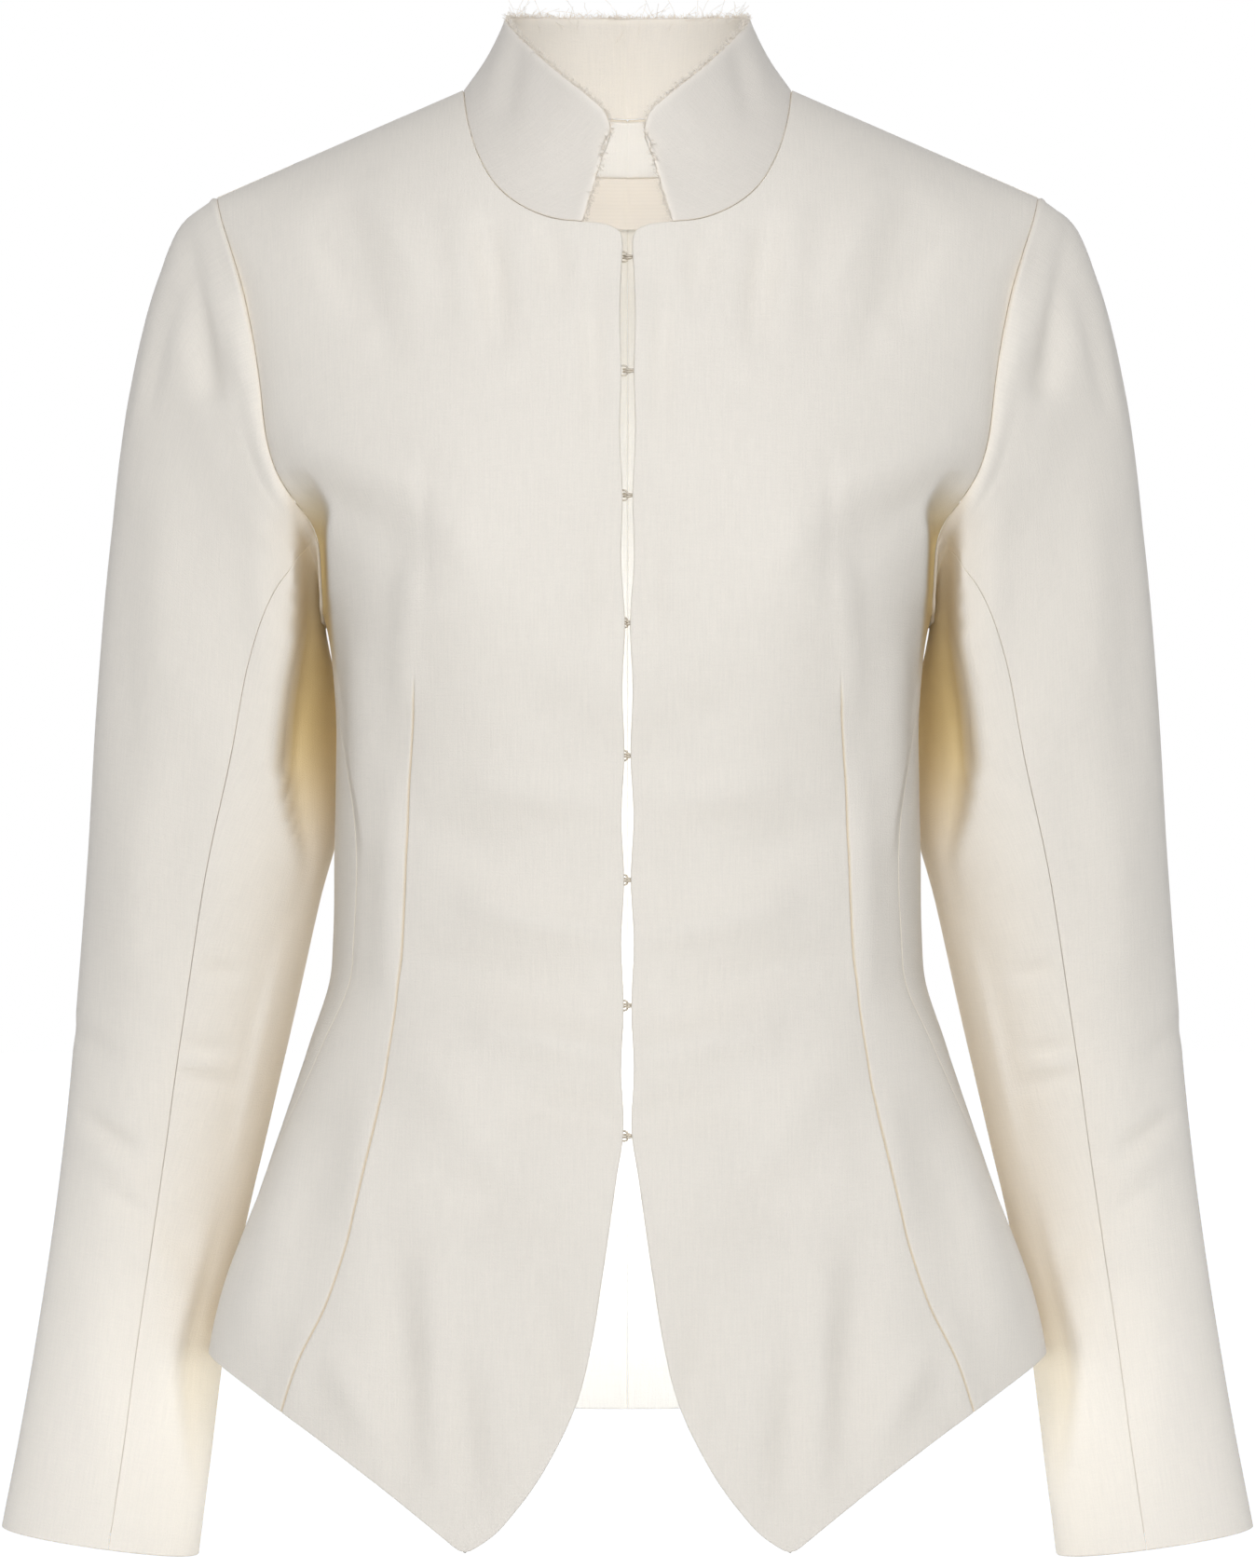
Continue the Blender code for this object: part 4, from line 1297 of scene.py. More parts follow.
def make_facing(name, strip, outward, sizes, cloth):
    """A pair of facings behind a strip of the outer cloth."""
    thickness = sizes.facing / MM
    back = strip - outward * (PACKED_CLOTH + FACING_GAP)
    distances = edge_distances(back)
    radii = {side: HEM_ROUND * thickness for side in distances}
    walls = shaped_wall(back, outward, thickness, radii, distances)
    make_pair(name, walls, cloth, back)


def make_facings(sizes, colours):
    """Front facings, seen in the gap, and neck facings, seen inside the collar."""
    cloth = plain_lining("ivory_facing", colours.facing)
    grid, outward, relief = folded_front(sizes.folds)
    surface = grid + outward * relief[..., None]
    strip, ways = inner_strip(surface, outward, FACING_RECESS, np.full(len(grid), FACING_WIDTH))
    make_facing("front_facing", strip, ways, sizes, cloth)

    grid, outward, relief = folded_back(sizes.folds)
    surface = grid + outward * relief[..., None]
    rows = grid[:, 0, 2] > BACK_NECK[0][1] - NECK_FACING_DEPTH
    widths = mix(*NECK_FACING_WIDTH, eased(grid[rows, 0, 0] / NECK_HALF))
    strip, ways = inner_strip(surface[rows], outward[rows], NECK_FACING_RECESS, widths)
    make_facing("neck_facing", strip, ways, sizes, cloth)


def make_label(sizes, colours):
    """Bare woven label inside the back of the neck."""
    across = np.linspace(-LABEL_HALF, LABEL_HALF, LABEL_STEPS[0])
    up = np.linspace(LABEL_BOTTOM, LABEL_TOP, LABEL_STEPS[1])
    x, z = np.meshgrid(across, up)
    on_back = torso(angle_at(np.abs(x), z, True), z)
    on_back[..., 0] = x
    inward = unit(np.array(LABEL_LEAN))
    away = PACKED_CLOTH + FACING_GAP + sizes.facing / MM + LABEL_STANDOFF
    pressed = sum(
        depth * np.exp(-(((place - at) / width) ** 2))
        for place, (at, depth, width) in ((x, LABEL_UPRIGHT_FOLD), (z, LABEL_LEVEL_FOLD))
    )
    front = on_back + inward * (away + LABEL_THICK - pressed)[..., None]
    behind = on_back + inward * away
    material = woven_tape("cotton_tape", colours.label)
    piece = cloth_wall("label_cloth", front, behind, np.stack([x, z], -1), material)
    declare(piece, "label")


# ---------------------------------------------------------------- collar


@functools.cache
def collar_points():
    """Left half of the collar from the front edge round to the centre back, bottom up."""
    front = smooth_path(FRONT_NECK, NECK_SAMPLES)
    back = smooth_path(BACK_NECK, BACK_NECK_SAMPLES)[::-1]
    seam = np.concatenate([
        torso(angle_at(*front.T, False), front[:, 1]),
        torso(angle_at(*back.T, True), back[:, 1])[1:],
    ])
    lengths = lengths_along(seam)
    near = np.array(CLOSE)
    at = np.concatenate([near, np.linspace(near[-1], lengths[-1], COLLAR_STEPS)[1:]])
    stations = at / lengths[-1]
    seam = at_lengths(seam, lengths, at)
    top = read(COLLAR_TOP, stations).T
    rows = []
    for share in close_steps(COLLAR_RISE, COLLAR_RISE_STEPS) / COLLAR_RISE:
        row = mix(seam, top, share)
        hollow = 4 * share * (1 - share) * COLLAR_HOLLOW * np.sin(stations * math.pi) ** 0.5
        rows.append(row - unit(row * LEVEL) * hollow[:, None])
    return np.array(rows)


def make_collar(sizes, colours):
    """One band round the neck, open at the front, with raw edges."""
    thickness, seam = sizes.collar / MM, sizes.seam_round / MM
    left = collar_points()
    band = np.concatenate([left, (left * MIRRORED)[:, -2::-1]], axis=1)
    outward = normals_away(band, band - band * LEVEL)
    distances = edge_distances(band)
    on_left = band.copy()
    on_left[..., 0] = np.abs(band[..., 0])
    relief = folds(on_left, COLLAR_FOLDS, sizes.folds) + seam_dips(distances, ("bottom",))
    surface = band + outward * relief[..., None]
    raw = {side: RAW_EDGE_ROUND * thickness for side in ("left", "right", "top")}
    walls = shaped_wall(surface, outward, thickness, {**raw, "bottom": seam}, distances)
    arc, rise = run_lengths(band, 1), run_lengths(band, 0)
    uv = np.stack([arc - arc[:, -1:] / 2, rise], -1)
    cloth = linen("collar_linen", colours.collar)
    # Painted shade along the collar's seam
    crease = seam_shades(distances, {"bottom": COLLAR_SHADE})
    piece = cloth_wall("collar_cloth", *walls, uv, cloth, crease=crease)
    frayed = np.exp(-((np.min([distances[side] for side in raw], axis=0) / FRAY_REACH) ** 2))
    set_shares(piece, "frayed", frayed, frayed)
    declare(piece, "collar")


# ---------------------------------------------------------------- sleeves


def sleeve_ring(down, angle):
    """Points of the sleeve's own form at distances down it and angles round it."""
    out_x, out_z, in_x, in_z, front, back, _ = read(SLEEVE, down)
    turn = np.radians(angle)
    cosine = np.sign(np.cos(turn)) * np.abs(np.cos(turn)) ** (2 / SLEEVE_SQUARE)
    sine = np.sign(np.sin(turn)) * np.abs(np.sin(turn)) ** (2 / SLEEVE_SQUARE)
    x = mix(in_x, out_x, (1 + cosine) / 2)
    z = mix(in_z, out_z, (1 + cosine) / 2)
    return np.stack([x, mix(back, front, (1 + sine) / 2), z], axis=-1)


@functools.cache
def armhole_ring():
    """The armhole from the underarm up the front, over the shoulder and down the back."""
    halves = []
    for table in (ARMHOLE_FRONT, ARMHOLE_BACK):
        halves.append(torso(*smooth_path(np.array(table)[:, ::-1], RING_SAMPLES).T))
    ring = np.concatenate([halves[0], halves[1][-2::-1]])
    _, top_x, top_z, low_x, low_z, front_y, back_y, _ = SLEEVE[0]
    upward = np.array([top_x - low_x, 0.0, top_z - low_z])
    tall = np.linalg.norm(upward)
    upward /= tall
    outward = np.array([upward[2], 0.0, -upward[0]])
    centre = np.array([(top_x + low_x) / 2, (front_y + back_y) / 2, (top_z + low_z) / 2])
    cosine = (ring - centre) @ upward / (tall / 2)
    sine = (centre[1] - ring[:, 1]) / ((back_y - front_y) / 2)
    start = np.unwrap(np.degrees(np.arctan2(sine, cosine))[1:-1], period=360)
    start = np.concatenate([start[:1], start, start[-1:]])
    lengths = lengths_along(ring)
    start += (180 - start[0]) * np.exp(-lengths / UNDERARM_EASE)
    start -= (180 + start[-1]) * np.exp(-(lengths[-1] - lengths) / UNDERARM_EASE)
    return ring, np.clip(start, -180, 180), outward, centre


def sleeve_piece(first_seam, last_seam, steps):
    """Outer points of one sleeve piece: rows run down it and columns round it."""
    ring, start, outward, centre = armhole_ring()
    lengths = lengths_along(ring)
    whole = lengths[-1]
    tops = {"front": SLEEVE_FRONT_SEAM[0][1], "back": SLEEVE_BACK_SEAM[0][1]}
    seams = {name: np.interp(-top, -start, lengths) for name, top in tops.items()}
    begin = seams[first_seam]
    at = begin + close_steps((seams[last_seam] - begin) % whole, steps)
    at = np.where(at > whole, at - whole, at)
    points = at_lengths(ring, lengths, at)
    angle = np.interp(at, lengths, start)
    corners = np.array([180.0, tops["front"], tops["back"], -180.0])
    downs = close_steps(SLEEVE_LENGTH, SLEEVE_STEPS)
    downs[0], downs[-1] = 0.0, SLEEVE_LENGTH
    rows = []
    for down in downs:
        (front_angle,), (back_angle,) = read(SLEEVE_FRONT_SEAM, down), read(SLEEVE_BACK_SEAM, down)
        goals = [180.0, float(front_angle), float(back_angle), -180.0]
        angles = mix(angle, np.interp(-angle, -corners, goals), eased(down / SEAM_TURN))
        kept = read(SLEEVE, down)[-1]
        rows.append(sleeve_ring(down, angles) + (points - sleeve_ring(0, angle)) * kept)
    rim = centre - points
    rim = unit(rim - (rim @ outward)[:, None] * outward)
    return np.array(rows) + outward * ARMHOLE_GAP, downs, rim, angle


def turned_back(grid, downs):
    """The sleeve with its front dropped back where it turns in beside the body or lies flat,
    and how warm the light is in the hollow of that turn."""
    x, y, z = np.moveaxis(grid, -1, 0)
    edge, depth = read(SLEEVE_TURN, z)
    _, _, _, _, front, back, _ = read(SLEEVE, downs)
    share = (y - front[:, None]) / (back - front)[:, None]
    fade_at, fade_run = SLEEVE_TURN_FADE
    in_front = 1 - eased((share - fade_at) / fade_run)
    joined = eased(downs / SLEEVE_TURN_JOIN)[:, None]
    turned = eased((edge - x) / SLEEVE_TURN_WIDTH + SLEEVE_TURN_START)
    inner, outer, flat = read(SLEEVE_FLAT, z)
    across = np.clip((x - inner) / (outer - inner), 0, 1)
    moved = grid.copy()
    moved[..., 1] += (depth * turned + 4 * flat * across * (1 - across)) * in_front * joined
    return moved, WARM_HOLLOW * np.clip(depth / DEEPEST_TURN, 0, 1) * turned * joined


def sleeve_relief(grid, outward, angle, distances, strength):
    """Height of a sleeve's folds, seams and rolled cap."""
    in_front = eased(0.5 - SIDEWAYS_BLEND * outward[..., 1])
    relief = in_front * folds(grid, SLEEVE_FRONT_FOLDS, strength)
    relief += (1 - in_front) * folds(grid, SLEEVE_BACK_FOLDS, strength)
    relief += SLEEVE_SEAM_DIP * seam_dips(distances, ("left", "right"))
    full, gone = CAP_ANGLES
    over_cap = eased((gone - np.abs(angle)) / (gone - full))
    roll = np.exp(-(((distances["bottom"] - CAP_ROLL_AT) / CAP_ROLL_WIDTH) ** 2))
    relief += CAP_ROLL * over_cap * roll
    return relief * eased(distances["bottom"] / CAP_RISE + CAP_START)


def make_sleeves(sizes, colours):
    """Upper and under sleeves."""
    thickness, seam = sizes.cloth / MM, sizes.seam_round / MM
    cloth = linen("ivory_linen", colours.linen)
    long_seam = SLEEVE_SEAM_ROUND * seam
    radii = {
        "left": long_seam,
        "right": long_seam,
        "bottom": CAP_SEAM_ROUND * seam,
        "top": HEM_ROUND * thickness,
    }
    for name, first, last, steps in (
        ("upper_sleeve", "front", "back", UPPER_STEPS),
        ("under_sleeve", "back", "front", UNDER_STEPS),
    ):
        grid, downs, rim, angle = sleeve_piece(first, last, steps)
        grid, hollow = turned_back(grid, downs)
        middle = np.array([sleeve_ring(down, np.array([0.0, 180.0])).mean(axis=0) for down in downs])
        outward = normals_away(grid, middle[:, None])
        distances = edge_distances(grid)
        relief = sleeve_relief(grid, outward, angle, distances, sizes.folds)
        surface = grid + outward * relief[..., None]
        by_rim = eased(1 - distances["bottom"] / RIM_LEAN_REACH)[..., None]
        into_wall = unit(mix(outward, unit(outward - rim), by_rim))
        walls = shaped_wall(surface, into_wall, thickness, radii, distances)
        arc = run_lengths(grid, 1)
        arc = arc - arc[:, [grid.shape[1] // 2]] + SLEEVE_MAP_SHIFT
        uv = np.stack([arc, np.broadcast_to(-downs[:, None], arc.shape)], -1)
        # Painted shade along the seams, cap and cuff, and painted warm shade where the sleeve turns back
        # beside the body
        on_cap = mix(*ARMHOLE_SHADE, eased((SHADE_HIGH - grid[:1, :, 2]) / SHADE_RUN))
        long_seams = {"left": SLEEVE_SEAM_SHADE, "right": SLEEVE_SEAM_SHADE}
        crease = seam_shades(distances, {**long_seams, "bottom": on_cap, "top": CUFF_SHADE})
        crease = np.maximum(crease, hollow)
        make_pair(name, walls, cloth, grid, uv, crease)


# ---------------------------------------------------------------- geometry node trees


def add_node(tree, kind, inputs=None, **settings):
    """A node with its settings, and its sockets set or linked."""
    node = tree.nodes.new(kind)
    for name, value in settings.items():
        setattr(node, name, value)
    for name, value in (inputs or {}).items():
        socket = node.inputs[name]
        if isinstance(value, bpy.types.NodeSocket):
            tree.links.new(value, socket)
        else:
            socket.default_value = value
    return node


def new_tree(name, inputs):
    """A geometry node tree with named inputs, and its group input and output nodes."""
    tree = bpy.data.node_groups.new(name, "GeometryNodeTree")
    tree.interface.new_socket("Geometry", in_out="INPUT", socket_type="NodeSocketGeometry")
    for label, kind in inputs:
        tree.interface.new_socket(label, in_out="INPUT", socket_type=kind)
    tree.interface.new_socket("Geometry", in_out="OUTPUT", socket_type="NodeSocketGeometry")
    return tree, tree.nodes.new("NodeGroupInput"), tree.nodes.new("NodeGroupOutput")


def grown(name, points, edges, attributes, tree, values):
    """The plain mesh that a tree grows from a line or from points, as a new object."""
    mesh = bpy.data.meshes.new(name + "_path")
    mesh.from_pydata((np.asarray(points) * MM).tolist(), edges, [])
    for label, (kind, field, data) in attributes.items():
        layer = mesh.attributes.new(label, kind, "POINT")
        layer.data.foreach_set(field, np.asarray(data).ravel())
    base = bpy.data.objects.new(name + "_path", mesh)
    bpy.context.scene.collection.objects.link(base)
    modifier = base.modifiers.new("grow", "NODES")
    modifier.node_group = tree
    sockets = {item.name: item for item in tree.interface.items_tree if item.in_out == "INPUT"}
    for label, value in values.items():
        modifier[sockets[label].identifier] = value
    graph = bpy.context.evaluated_depsgraph_get()
    made = bpy.data.meshes.new_from_object(base.evaluated_get(graph))
    base.modifiers.remove(modifier)
    bpy.data.objects.remove(base)
    bpy.data.meshes.remove(mesh)
    if not made.polygons:
        raise RuntimeError(f"{name}: its tree grew nothing")
    made.name = name
    made.shade_smooth()
    thing = bpy.data.objects.new(name, made)
    bpy.context.scene.collection.objects.link(thing)
    return thing


def wire_tree():
    """One bent wire set on each seat point."""
    tree, start, end = new_tree(
        "bent_wires", [("Wire radius", "NodeSocketFloat"), ("Wire", "NodeSocketMaterial")]
    )
    given = start.outputs
    seat = add_node(tree, "GeometryNodeInputNamedAttribute", {"Name": "seat"}, data_type="BOOLEAN")
    parts = add_node(
        tree, "GeometryNodeSeparateGeometry",
        {"Geometry": given["Geometry"], "Selection": seat.outputs["Attribute"]}, domain="POINT",
    )
    curve = add_node(tree, "GeometryNodeMeshToCurve", {"Mesh": parts.outputs["Inverted"]})
    ring = add_node(
        tree, "GeometryNodeCurvePrimitiveCircle",
        {"Resolution": WIRE_SIDES, "Radius": given["Wire radius"]},
    )
    wire = add_node(
        tree, "GeometryNodeCurveToMesh",
        {"Curve": curve.outputs["Curve"], "Profile Curve": ring.outputs["Curve"]},
    )
    points = add_node(tree, "GeometryNodeMeshToPoints", {"Mesh": parts.outputs["Selection"]})
    copies = add_node(
        tree, "GeometryNodeInstanceOnPoints",
        {"Points": points.outputs["Points"], "Instance": wire.outputs["Mesh"]},
    )
    real = add_node(tree, "GeometryNodeRealizeInstances", {"Geometry": copies.outputs["Instances"]})
    finished = add_node(
        tree, "GeometryNodeSetMaterial",
        {"Geometry": real.outputs["Geometry"], "Material": given["Wire"]},
    )
    tree.links.new(finished.outputs["Geometry"], end.inputs["Geometry"])
    return tree


def make_hooks_and_eyes(sizes, colours):
    """Eight hooks on the left and eight eyes on the right, behind the front edges."""
    metal = plated_wire("plated_wire", colours.wire)
    tree = wire_tree()
    grid, outward, relief = folded_front(sizes.folds)
    surface = grid + outward * relief[..., None]
    behind = surface - outward * (PACKED_CLOTH + FACING_GAP + sizes.facing / MM)
    column = int(np.argmin(np.abs(grid[len(grid) // 2, :, 0] - WIRE_SEAT)))
    upward = np.argsort(behind[:, column, 2])
    _, seat_y, seat_z = behind[upward, column].T
    away = WIRE_STANDOFF + sizes.wire / MM
    seats = [(0.0, np.interp(level, seat_z, seat_y) + away, level) for level in HOOK_LEVELS]
    for name, path, node in (("hooks", HOOK_PATH, "hook"), ("eyes", EYE_PATH, "eye")):
        half = np.array(path)
        loop = np.concatenate([half, (half * np.array([1.0, 1.0, -1.0]))[-2:0:-1]])
        loop = smooth_path(np.concatenate([loop, loop[:1]]), WIRE_STEPS)[:-1]
        count = len(loop)
        edges = [(i, (i + 1) % count) for i in range(count)]
        points = np.concatenate([loop, seats])
        attributes = {"seat": ("BOOLEAN", "value", np.arange(len(points)) >= count)}
        values = {"Wire radius": sizes.wire, "Wire": metal}
        piece = grown(name, points, edges, attributes, tree, values)
        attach(piece, "root")
        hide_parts(*[f"{node}_{number}" for number in range(1, len(HOOK_LEVELS) + 1)])


def fray_tree():
    """Loose threads standing on a raw edge, each turned and bent at random."""
    numbers = ("Shortest", "Longest", "Lean", "Curl", "Thread radius")
    tree, start, end = new_tree("frayed_threads", [
        *((label, "NodeSocketFloat") for label in numbers),
        ("Threads", "NodeSocketInt"),
        ("Seed", "NodeSocketInt"),
        ("Thread", "NodeSocketMaterial"),
    ])
    given = start.outputs
    line = add_node(tree, "GeometryNodeMeshToCurve", {"Mesh": given["Geometry"]})
    spots = add_node(
        tree, "GeometryNodeResampleCurve", {"Curve": line.outputs["Curve"], "Count": given["Threads"]}
    )

    # Which way each thread stands: out of the edge, and aside by up to the lean
    away = add_node(tree, "GeometryNodeInputNamedAttribute", {"Name": "away"}, data_type="FLOAT_VECTOR")
    lean = add_node(tree, "ShaderNodeMath", {0: given["Lean"], 1: -1.0}, operation="MULTIPLY")
    low, high = (
        add_node(tree, "ShaderNodeCombineXYZ", {"X": reach, "Y": reach, "Z": reach})
        for reach in (lean.outputs["Value"], given["Lean"])
    )
    scatter = add_node(
        tree, "FunctionNodeRandomValue",
        {"Min": low.outputs["Vector"], "Max": high.outputs["Vector"], "Seed": given["Seed"]},
        data_type="FLOAT_VECTOR",
    )
    way = add_node(
        tree, "ShaderNodeVectorMath",
        {0: away.outputs["Attribute"], 1: scatter.outputs["Value"]}, operation="ADD",
    )
    turn = add_node(
        tree, "FunctionNodeAlignRotationToVector", {"Vector": way.outputs["Vector"]}, axis="Z"
    )
    spin = add_node(tree, "FunctionNodeRandomValue", {2: -math.pi, 3: math.pi, "Seed": given["Seed"]})
    about = add_node(tree, "FunctionNodeAxisAngleToRotation", {"Angle": spin.outputs[1]})
    turned = add_node(
        tree, "FunctionNodeRotateRotation",
        {"Rotation": turn.outputs["Rotation"], "Rotate By": about.outputs["Rotation"]},
        rotation_space="LOCAL",
    )

    # One thread, a metre long and curled to one side, set on each spot at its own length
    strand = add_node(
        tree, "GeometryNodeCurvePrimitiveLine",
        {"Start": (0.0, 0.0, -THREAD_ROOT), "End": (0.0, 0.0, 1.0)},
    )
    bent = add_node(
        tree, "GeometryNodeResampleCurve", {"Curve": strand.outputs["Curve"], "Count": THREAD_POINTS}
    )
    place = add_node(tree, "GeometryNodeInputPosition")
    parts = add_node(tree, "ShaderNodeSeparateXYZ", {"Vector": place.outputs["Position"]})
    squared = add_node(tree, "ShaderNodeMath", {0: parts.outputs["Z"], 1: 2.0}, operation="POWER")
    curled = add_node(
        tree, "ShaderNodeMath", {0: squared.outputs["Value"], 1: given["Curl"]}, operation="MULTIPLY"
    )
    swing = add_node(tree, "ShaderNodeCombineXYZ", {"X": curled.outputs["Value"]})
    bow = add_node(
        tree, "GeometryNodeSetPosition",
        {"Geometry": bent.outputs["Curve"], "Offset": swing.outputs["Vector"]},
    )
    length = add_node(
        tree, "FunctionNodeRandomValue",
        {2: given["Shortest"], 3: given["Longest"], "Seed": given["Seed"]},
    )
    copies = add_node(tree, "GeometryNodeInstanceOnPoints", {
        "Points": spots.outputs["Curve"],
        "Instance": bow.outputs["Geometry"],
        "Rotation": turned.outputs["Rotation"],
        "Scale": length.outputs[1],
    })
    real = add_node(tree, "GeometryNodeRealizeInstances", {"Geometry": copies.outputs["Instances"]})

    # The threads waver in space, and get their thickness
    ripple = add_node(tree, "ShaderNodeTexNoise", {"Scale": 1 / (RIPPLE_SPAN * MM), "Detail": 1.0})
    centred = add_node(
        tree, "ShaderNodeVectorMath", {0: ripple.outputs["Color"], 1: (0.5, 0.5, 0.5)},
        operation="SUBTRACT",
    )
    offset = add_node(
        tree, "ShaderNodeVectorMath", {0: centred.outputs["Vector"], "Scale": RIPPLE * MM},
        operation="SCALE",
    )
    wavy = add_node(
        tree, "GeometryNodeSetPosition",
        {"Geometry": real.outputs["Geometry"], "Offset": offset.outputs["Vector"]},
    )
    ring = add_node(
        tree, "GeometryNodeCurvePrimitiveCircle",
        {"Resolution": THREAD_SIDES, "Radius": given["Thread radius"]},
    )
    mesh = add_node(
        tree, "GeometryNodeCurveToMesh",
        {"Curve": wavy.outputs["Geometry"], "Profile Curve": ring.outputs["Curve"], "Fill Caps": True},
    )
    whole = add_node(tree, "GeometryNodeRealizeInstances", {"Geometry": mesh.outputs["Mesh"]})
    finished = add_node(
        tree, "GeometryNodeSetMaterial",
        {"Geometry": whole.outputs["Geometry"], "Material": given["Thread"]},
    )
    tree.links.new(finished.outputs["Geometry"], end.inputs["Geometry"])
    return tree


def make_frayed_threads(sizes, colours):
    """Fray along the raw edges of the collar."""
    half = collar_points()
    outward = normals_away(half, half - half * LEVEL)
    centre = half - outward * sizes.collar / MM / 2
    front_away = unit(centre[:, 0] - centre[:, 6])
    top_away = unit(centre[-1] - centre[-8])
    left_edge = np.concatenate([centre[:, 0], centre[-1, 1:]])
    left_away = np.concatenate([front_away, top_away[1:]])
    edge, away = (
        np.concatenate([left, (left * MIRRORED)[-2::-1]]) for left in (left_edge, left_away)
    )
    tree = fray_tree()
    thread = linen("frayed_linen", colours.thread)
    thread.node_tree.nodes["Principled BSDF"].inputs["Sheen Weight"].default_value = THREAD_FUZZ
    at_back = edge[:, 1] > LONG_FRAY_FROM
    for name, line, ways, count, form in (
        ("fray", edge, away, sizes.fringe, SHORT_FRAY),
        ("loose_threads", edge[at_back], away[at_back], sizes.wisps, LONG_FRAY),
    ):
        edges = [(i, i + 1) for i in range(len(line) - 1)]
        attributes = {"away": ("FLOAT_VECTOR", "vector", ways.astype(np.float32))}
        values = {**form, "Threads": count, "Thread radius": sizes.thread, "Thread": thread}
        piece = grown(name, line, edges, attributes, tree, values)
        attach(piece, "root")


# ---------------------------------------------------------------- materials

# Fuzz of single threads, which shows more than that of the whole cloth
THREAD_FUZZ = 0.15
# Sizes of the linen's slubs and grain, in millimetres: across and along
WARP_SLUB = (0.85, 17.0)
WEFT_SLUB = (11.0, 0.8)
GRAIN = (0.75, 0.75)
# Spread of the faint patches in the linen's tone
CLOUD = (55.0, 80.0)
# Red, green and blue that are left of the linen's colour in painted shade, deep in a crease or in the
# hollow beside the arm
SHADE_TINT = (0.72, 0.56, 0.2)
FRAYED_TONE = 1.12
# Spacing of the tape's ribs and of the wire's handling marks
TAPE_RIB = 0.8
WIRE_MARK = 0.6
# Patches of the floor's unevenness in a metre
FLOOR_PATCHES = 3.0


def material_named(name):
    """A new material with its shader, or None and the finished one if it exists."""
    material = bpy.data.materials.get(name)
    if material:
        return material, None, None
    material = bpy.data.materials.new(name)
    material.use_nodes = True
    return material, material.node_tree, material.node_tree.nodes["Principled BSDF"]


def toned(colour, share):
    return tuple(min(1.0, channel * share) for channel in colour) + (1.0,)


def finish(tree, shader, links, values):
    """Links and sets sockets of a material's own shader."""
    for name, output in links.items():
        tree.links.new(output, shader.inputs[name])
    for name, value in values.items():
        shader.inputs[name].default_value = value


def blended(tree, patterns, weights):
    """The first pattern with weighted shares of the others added to it."""
    total = patterns[0]
    for pattern, weight in zip(patterns[1:], weights):
        added = add_node(
            tree, "ShaderNodeMath", {0: pattern, 1: weight, 2: total}, operation="MULTIPLY_ADD"
        )
        total = added.outputs["Value"]
    return total


def linen(name, colour, uneven=0.035):
    """Washed linen, plain weave: slubs thicken single threads, so fine streaks run up and
    across the cloth. The threads scatter light evenly, with no shine but a faint fuzz."""
    material, tree, shader = material_named(name)
    if tree is None:
        return material
    place = add_node(tree, "ShaderNodeUVMap", uv_map="cloth").outputs["UV"]
    patterns = []
    for size, detail in ((WARP_SLUB, 3.0), (WEFT_SLUB, 3.0), (GRAIN, 2.0), (CLOUD, 3.0)):
        scale = (1 / (size[0] * MM), 1 / (size[1] * MM), 1.0)
        mapped = add_node(tree, "ShaderNodeMapping", {"Vector": place, "Scale": scale})
        noise = add_node(
            tree, "ShaderNodeTexNoise",
            {"Vector": mapped.outputs["Vector"], "Scale": 1.0, "Detail": detail, "Roughness": 0.55},
            noise_dimensions="2D",
        )
        patterns.append(noise.outputs["Fac"])
    warp, weft, grain, cloud = patterns
    total = blended(tree, (warp, weft, grain, cloud), (0.5, 0.8, 0.7))
    tone = add_node(tree, "ShaderNodeMapRange", {"Value": total, "From Min": 1.05, "From Max": 1.95})
    frayed, crease = (
        add_node(tree, "ShaderNodeAttribute", attribute_name=label).outputs["Fac"]
        for label in ("frayed", "crease")
    )
    # Colour of the painted shade in creases and in the hollow beside the arm: darker and warmer than the
    # linen
    shade_colour = tuple(channel * left for channel, left in zip(colour, SHADE_TINT)) + (1.0,)
    shown = toned(colour, 1 - uneven)
    for share, target in (
        (tone.outputs["Result"], toned(colour, 1 + uneven)),
        (frayed, toned(colour, FRAYED_TONE)),
        (crease, shade_colour),
    ):
        mixed = add_node(
            tree, "ShaderNodeMix", {"Factor": share, 6: shown, 7: target}, data_type="RGBA"
        )
        shown = mixed.outputs[2]
    weave = blended(tree, (grain, warp, weft), (0.7, 0.4))
    bump = add_node(tree, "ShaderNodeBump", {"Height": weave, "Strength": 0.35, "Distance": 0.35 * MM})
    finish(
        tree, shader, {"Base Color": shown, "Normal": bump.outputs["Normal"]},
        {"Roughness": 0.92, "Specular IOR Level": 0.2, "Sheen Weight": 0.06, "Sheen Roughness": 0.6},
    )
    return material


def plain_lining(name, colour):
    """Fine cotton-linen lawn of the facings: closer and smoother than the outer cloth."""
    material = linen(name, colour, 0.018)
    material.node_tree.nodes["Principled BSDF"].inputs["Roughness"].default_value = 0.85
    return material


def patterned(name, pattern, colours, bump, values):
    """A material whose colour and relief both follow one pattern, which a function adds."""
    material, tree, shader = material_named(name)
    if tree is None:
        return material
    share = pattern(tree)
    mixed = add_node(
        tree, "ShaderNodeMix", {"Factor": share, 6: colours[0], 7: colours[1]}, data_type="RGBA"
    )
    strength, depth = bump
    relief = add_node(
        tree, "ShaderNodeBump", {"Height": share, "Strength": strength, "Distance": depth}
    )
    links = {"Base Color": mixed.outputs[2], "Normal": relief.outputs["Normal"]}
    finish(tree, shader, links, values)
    return material


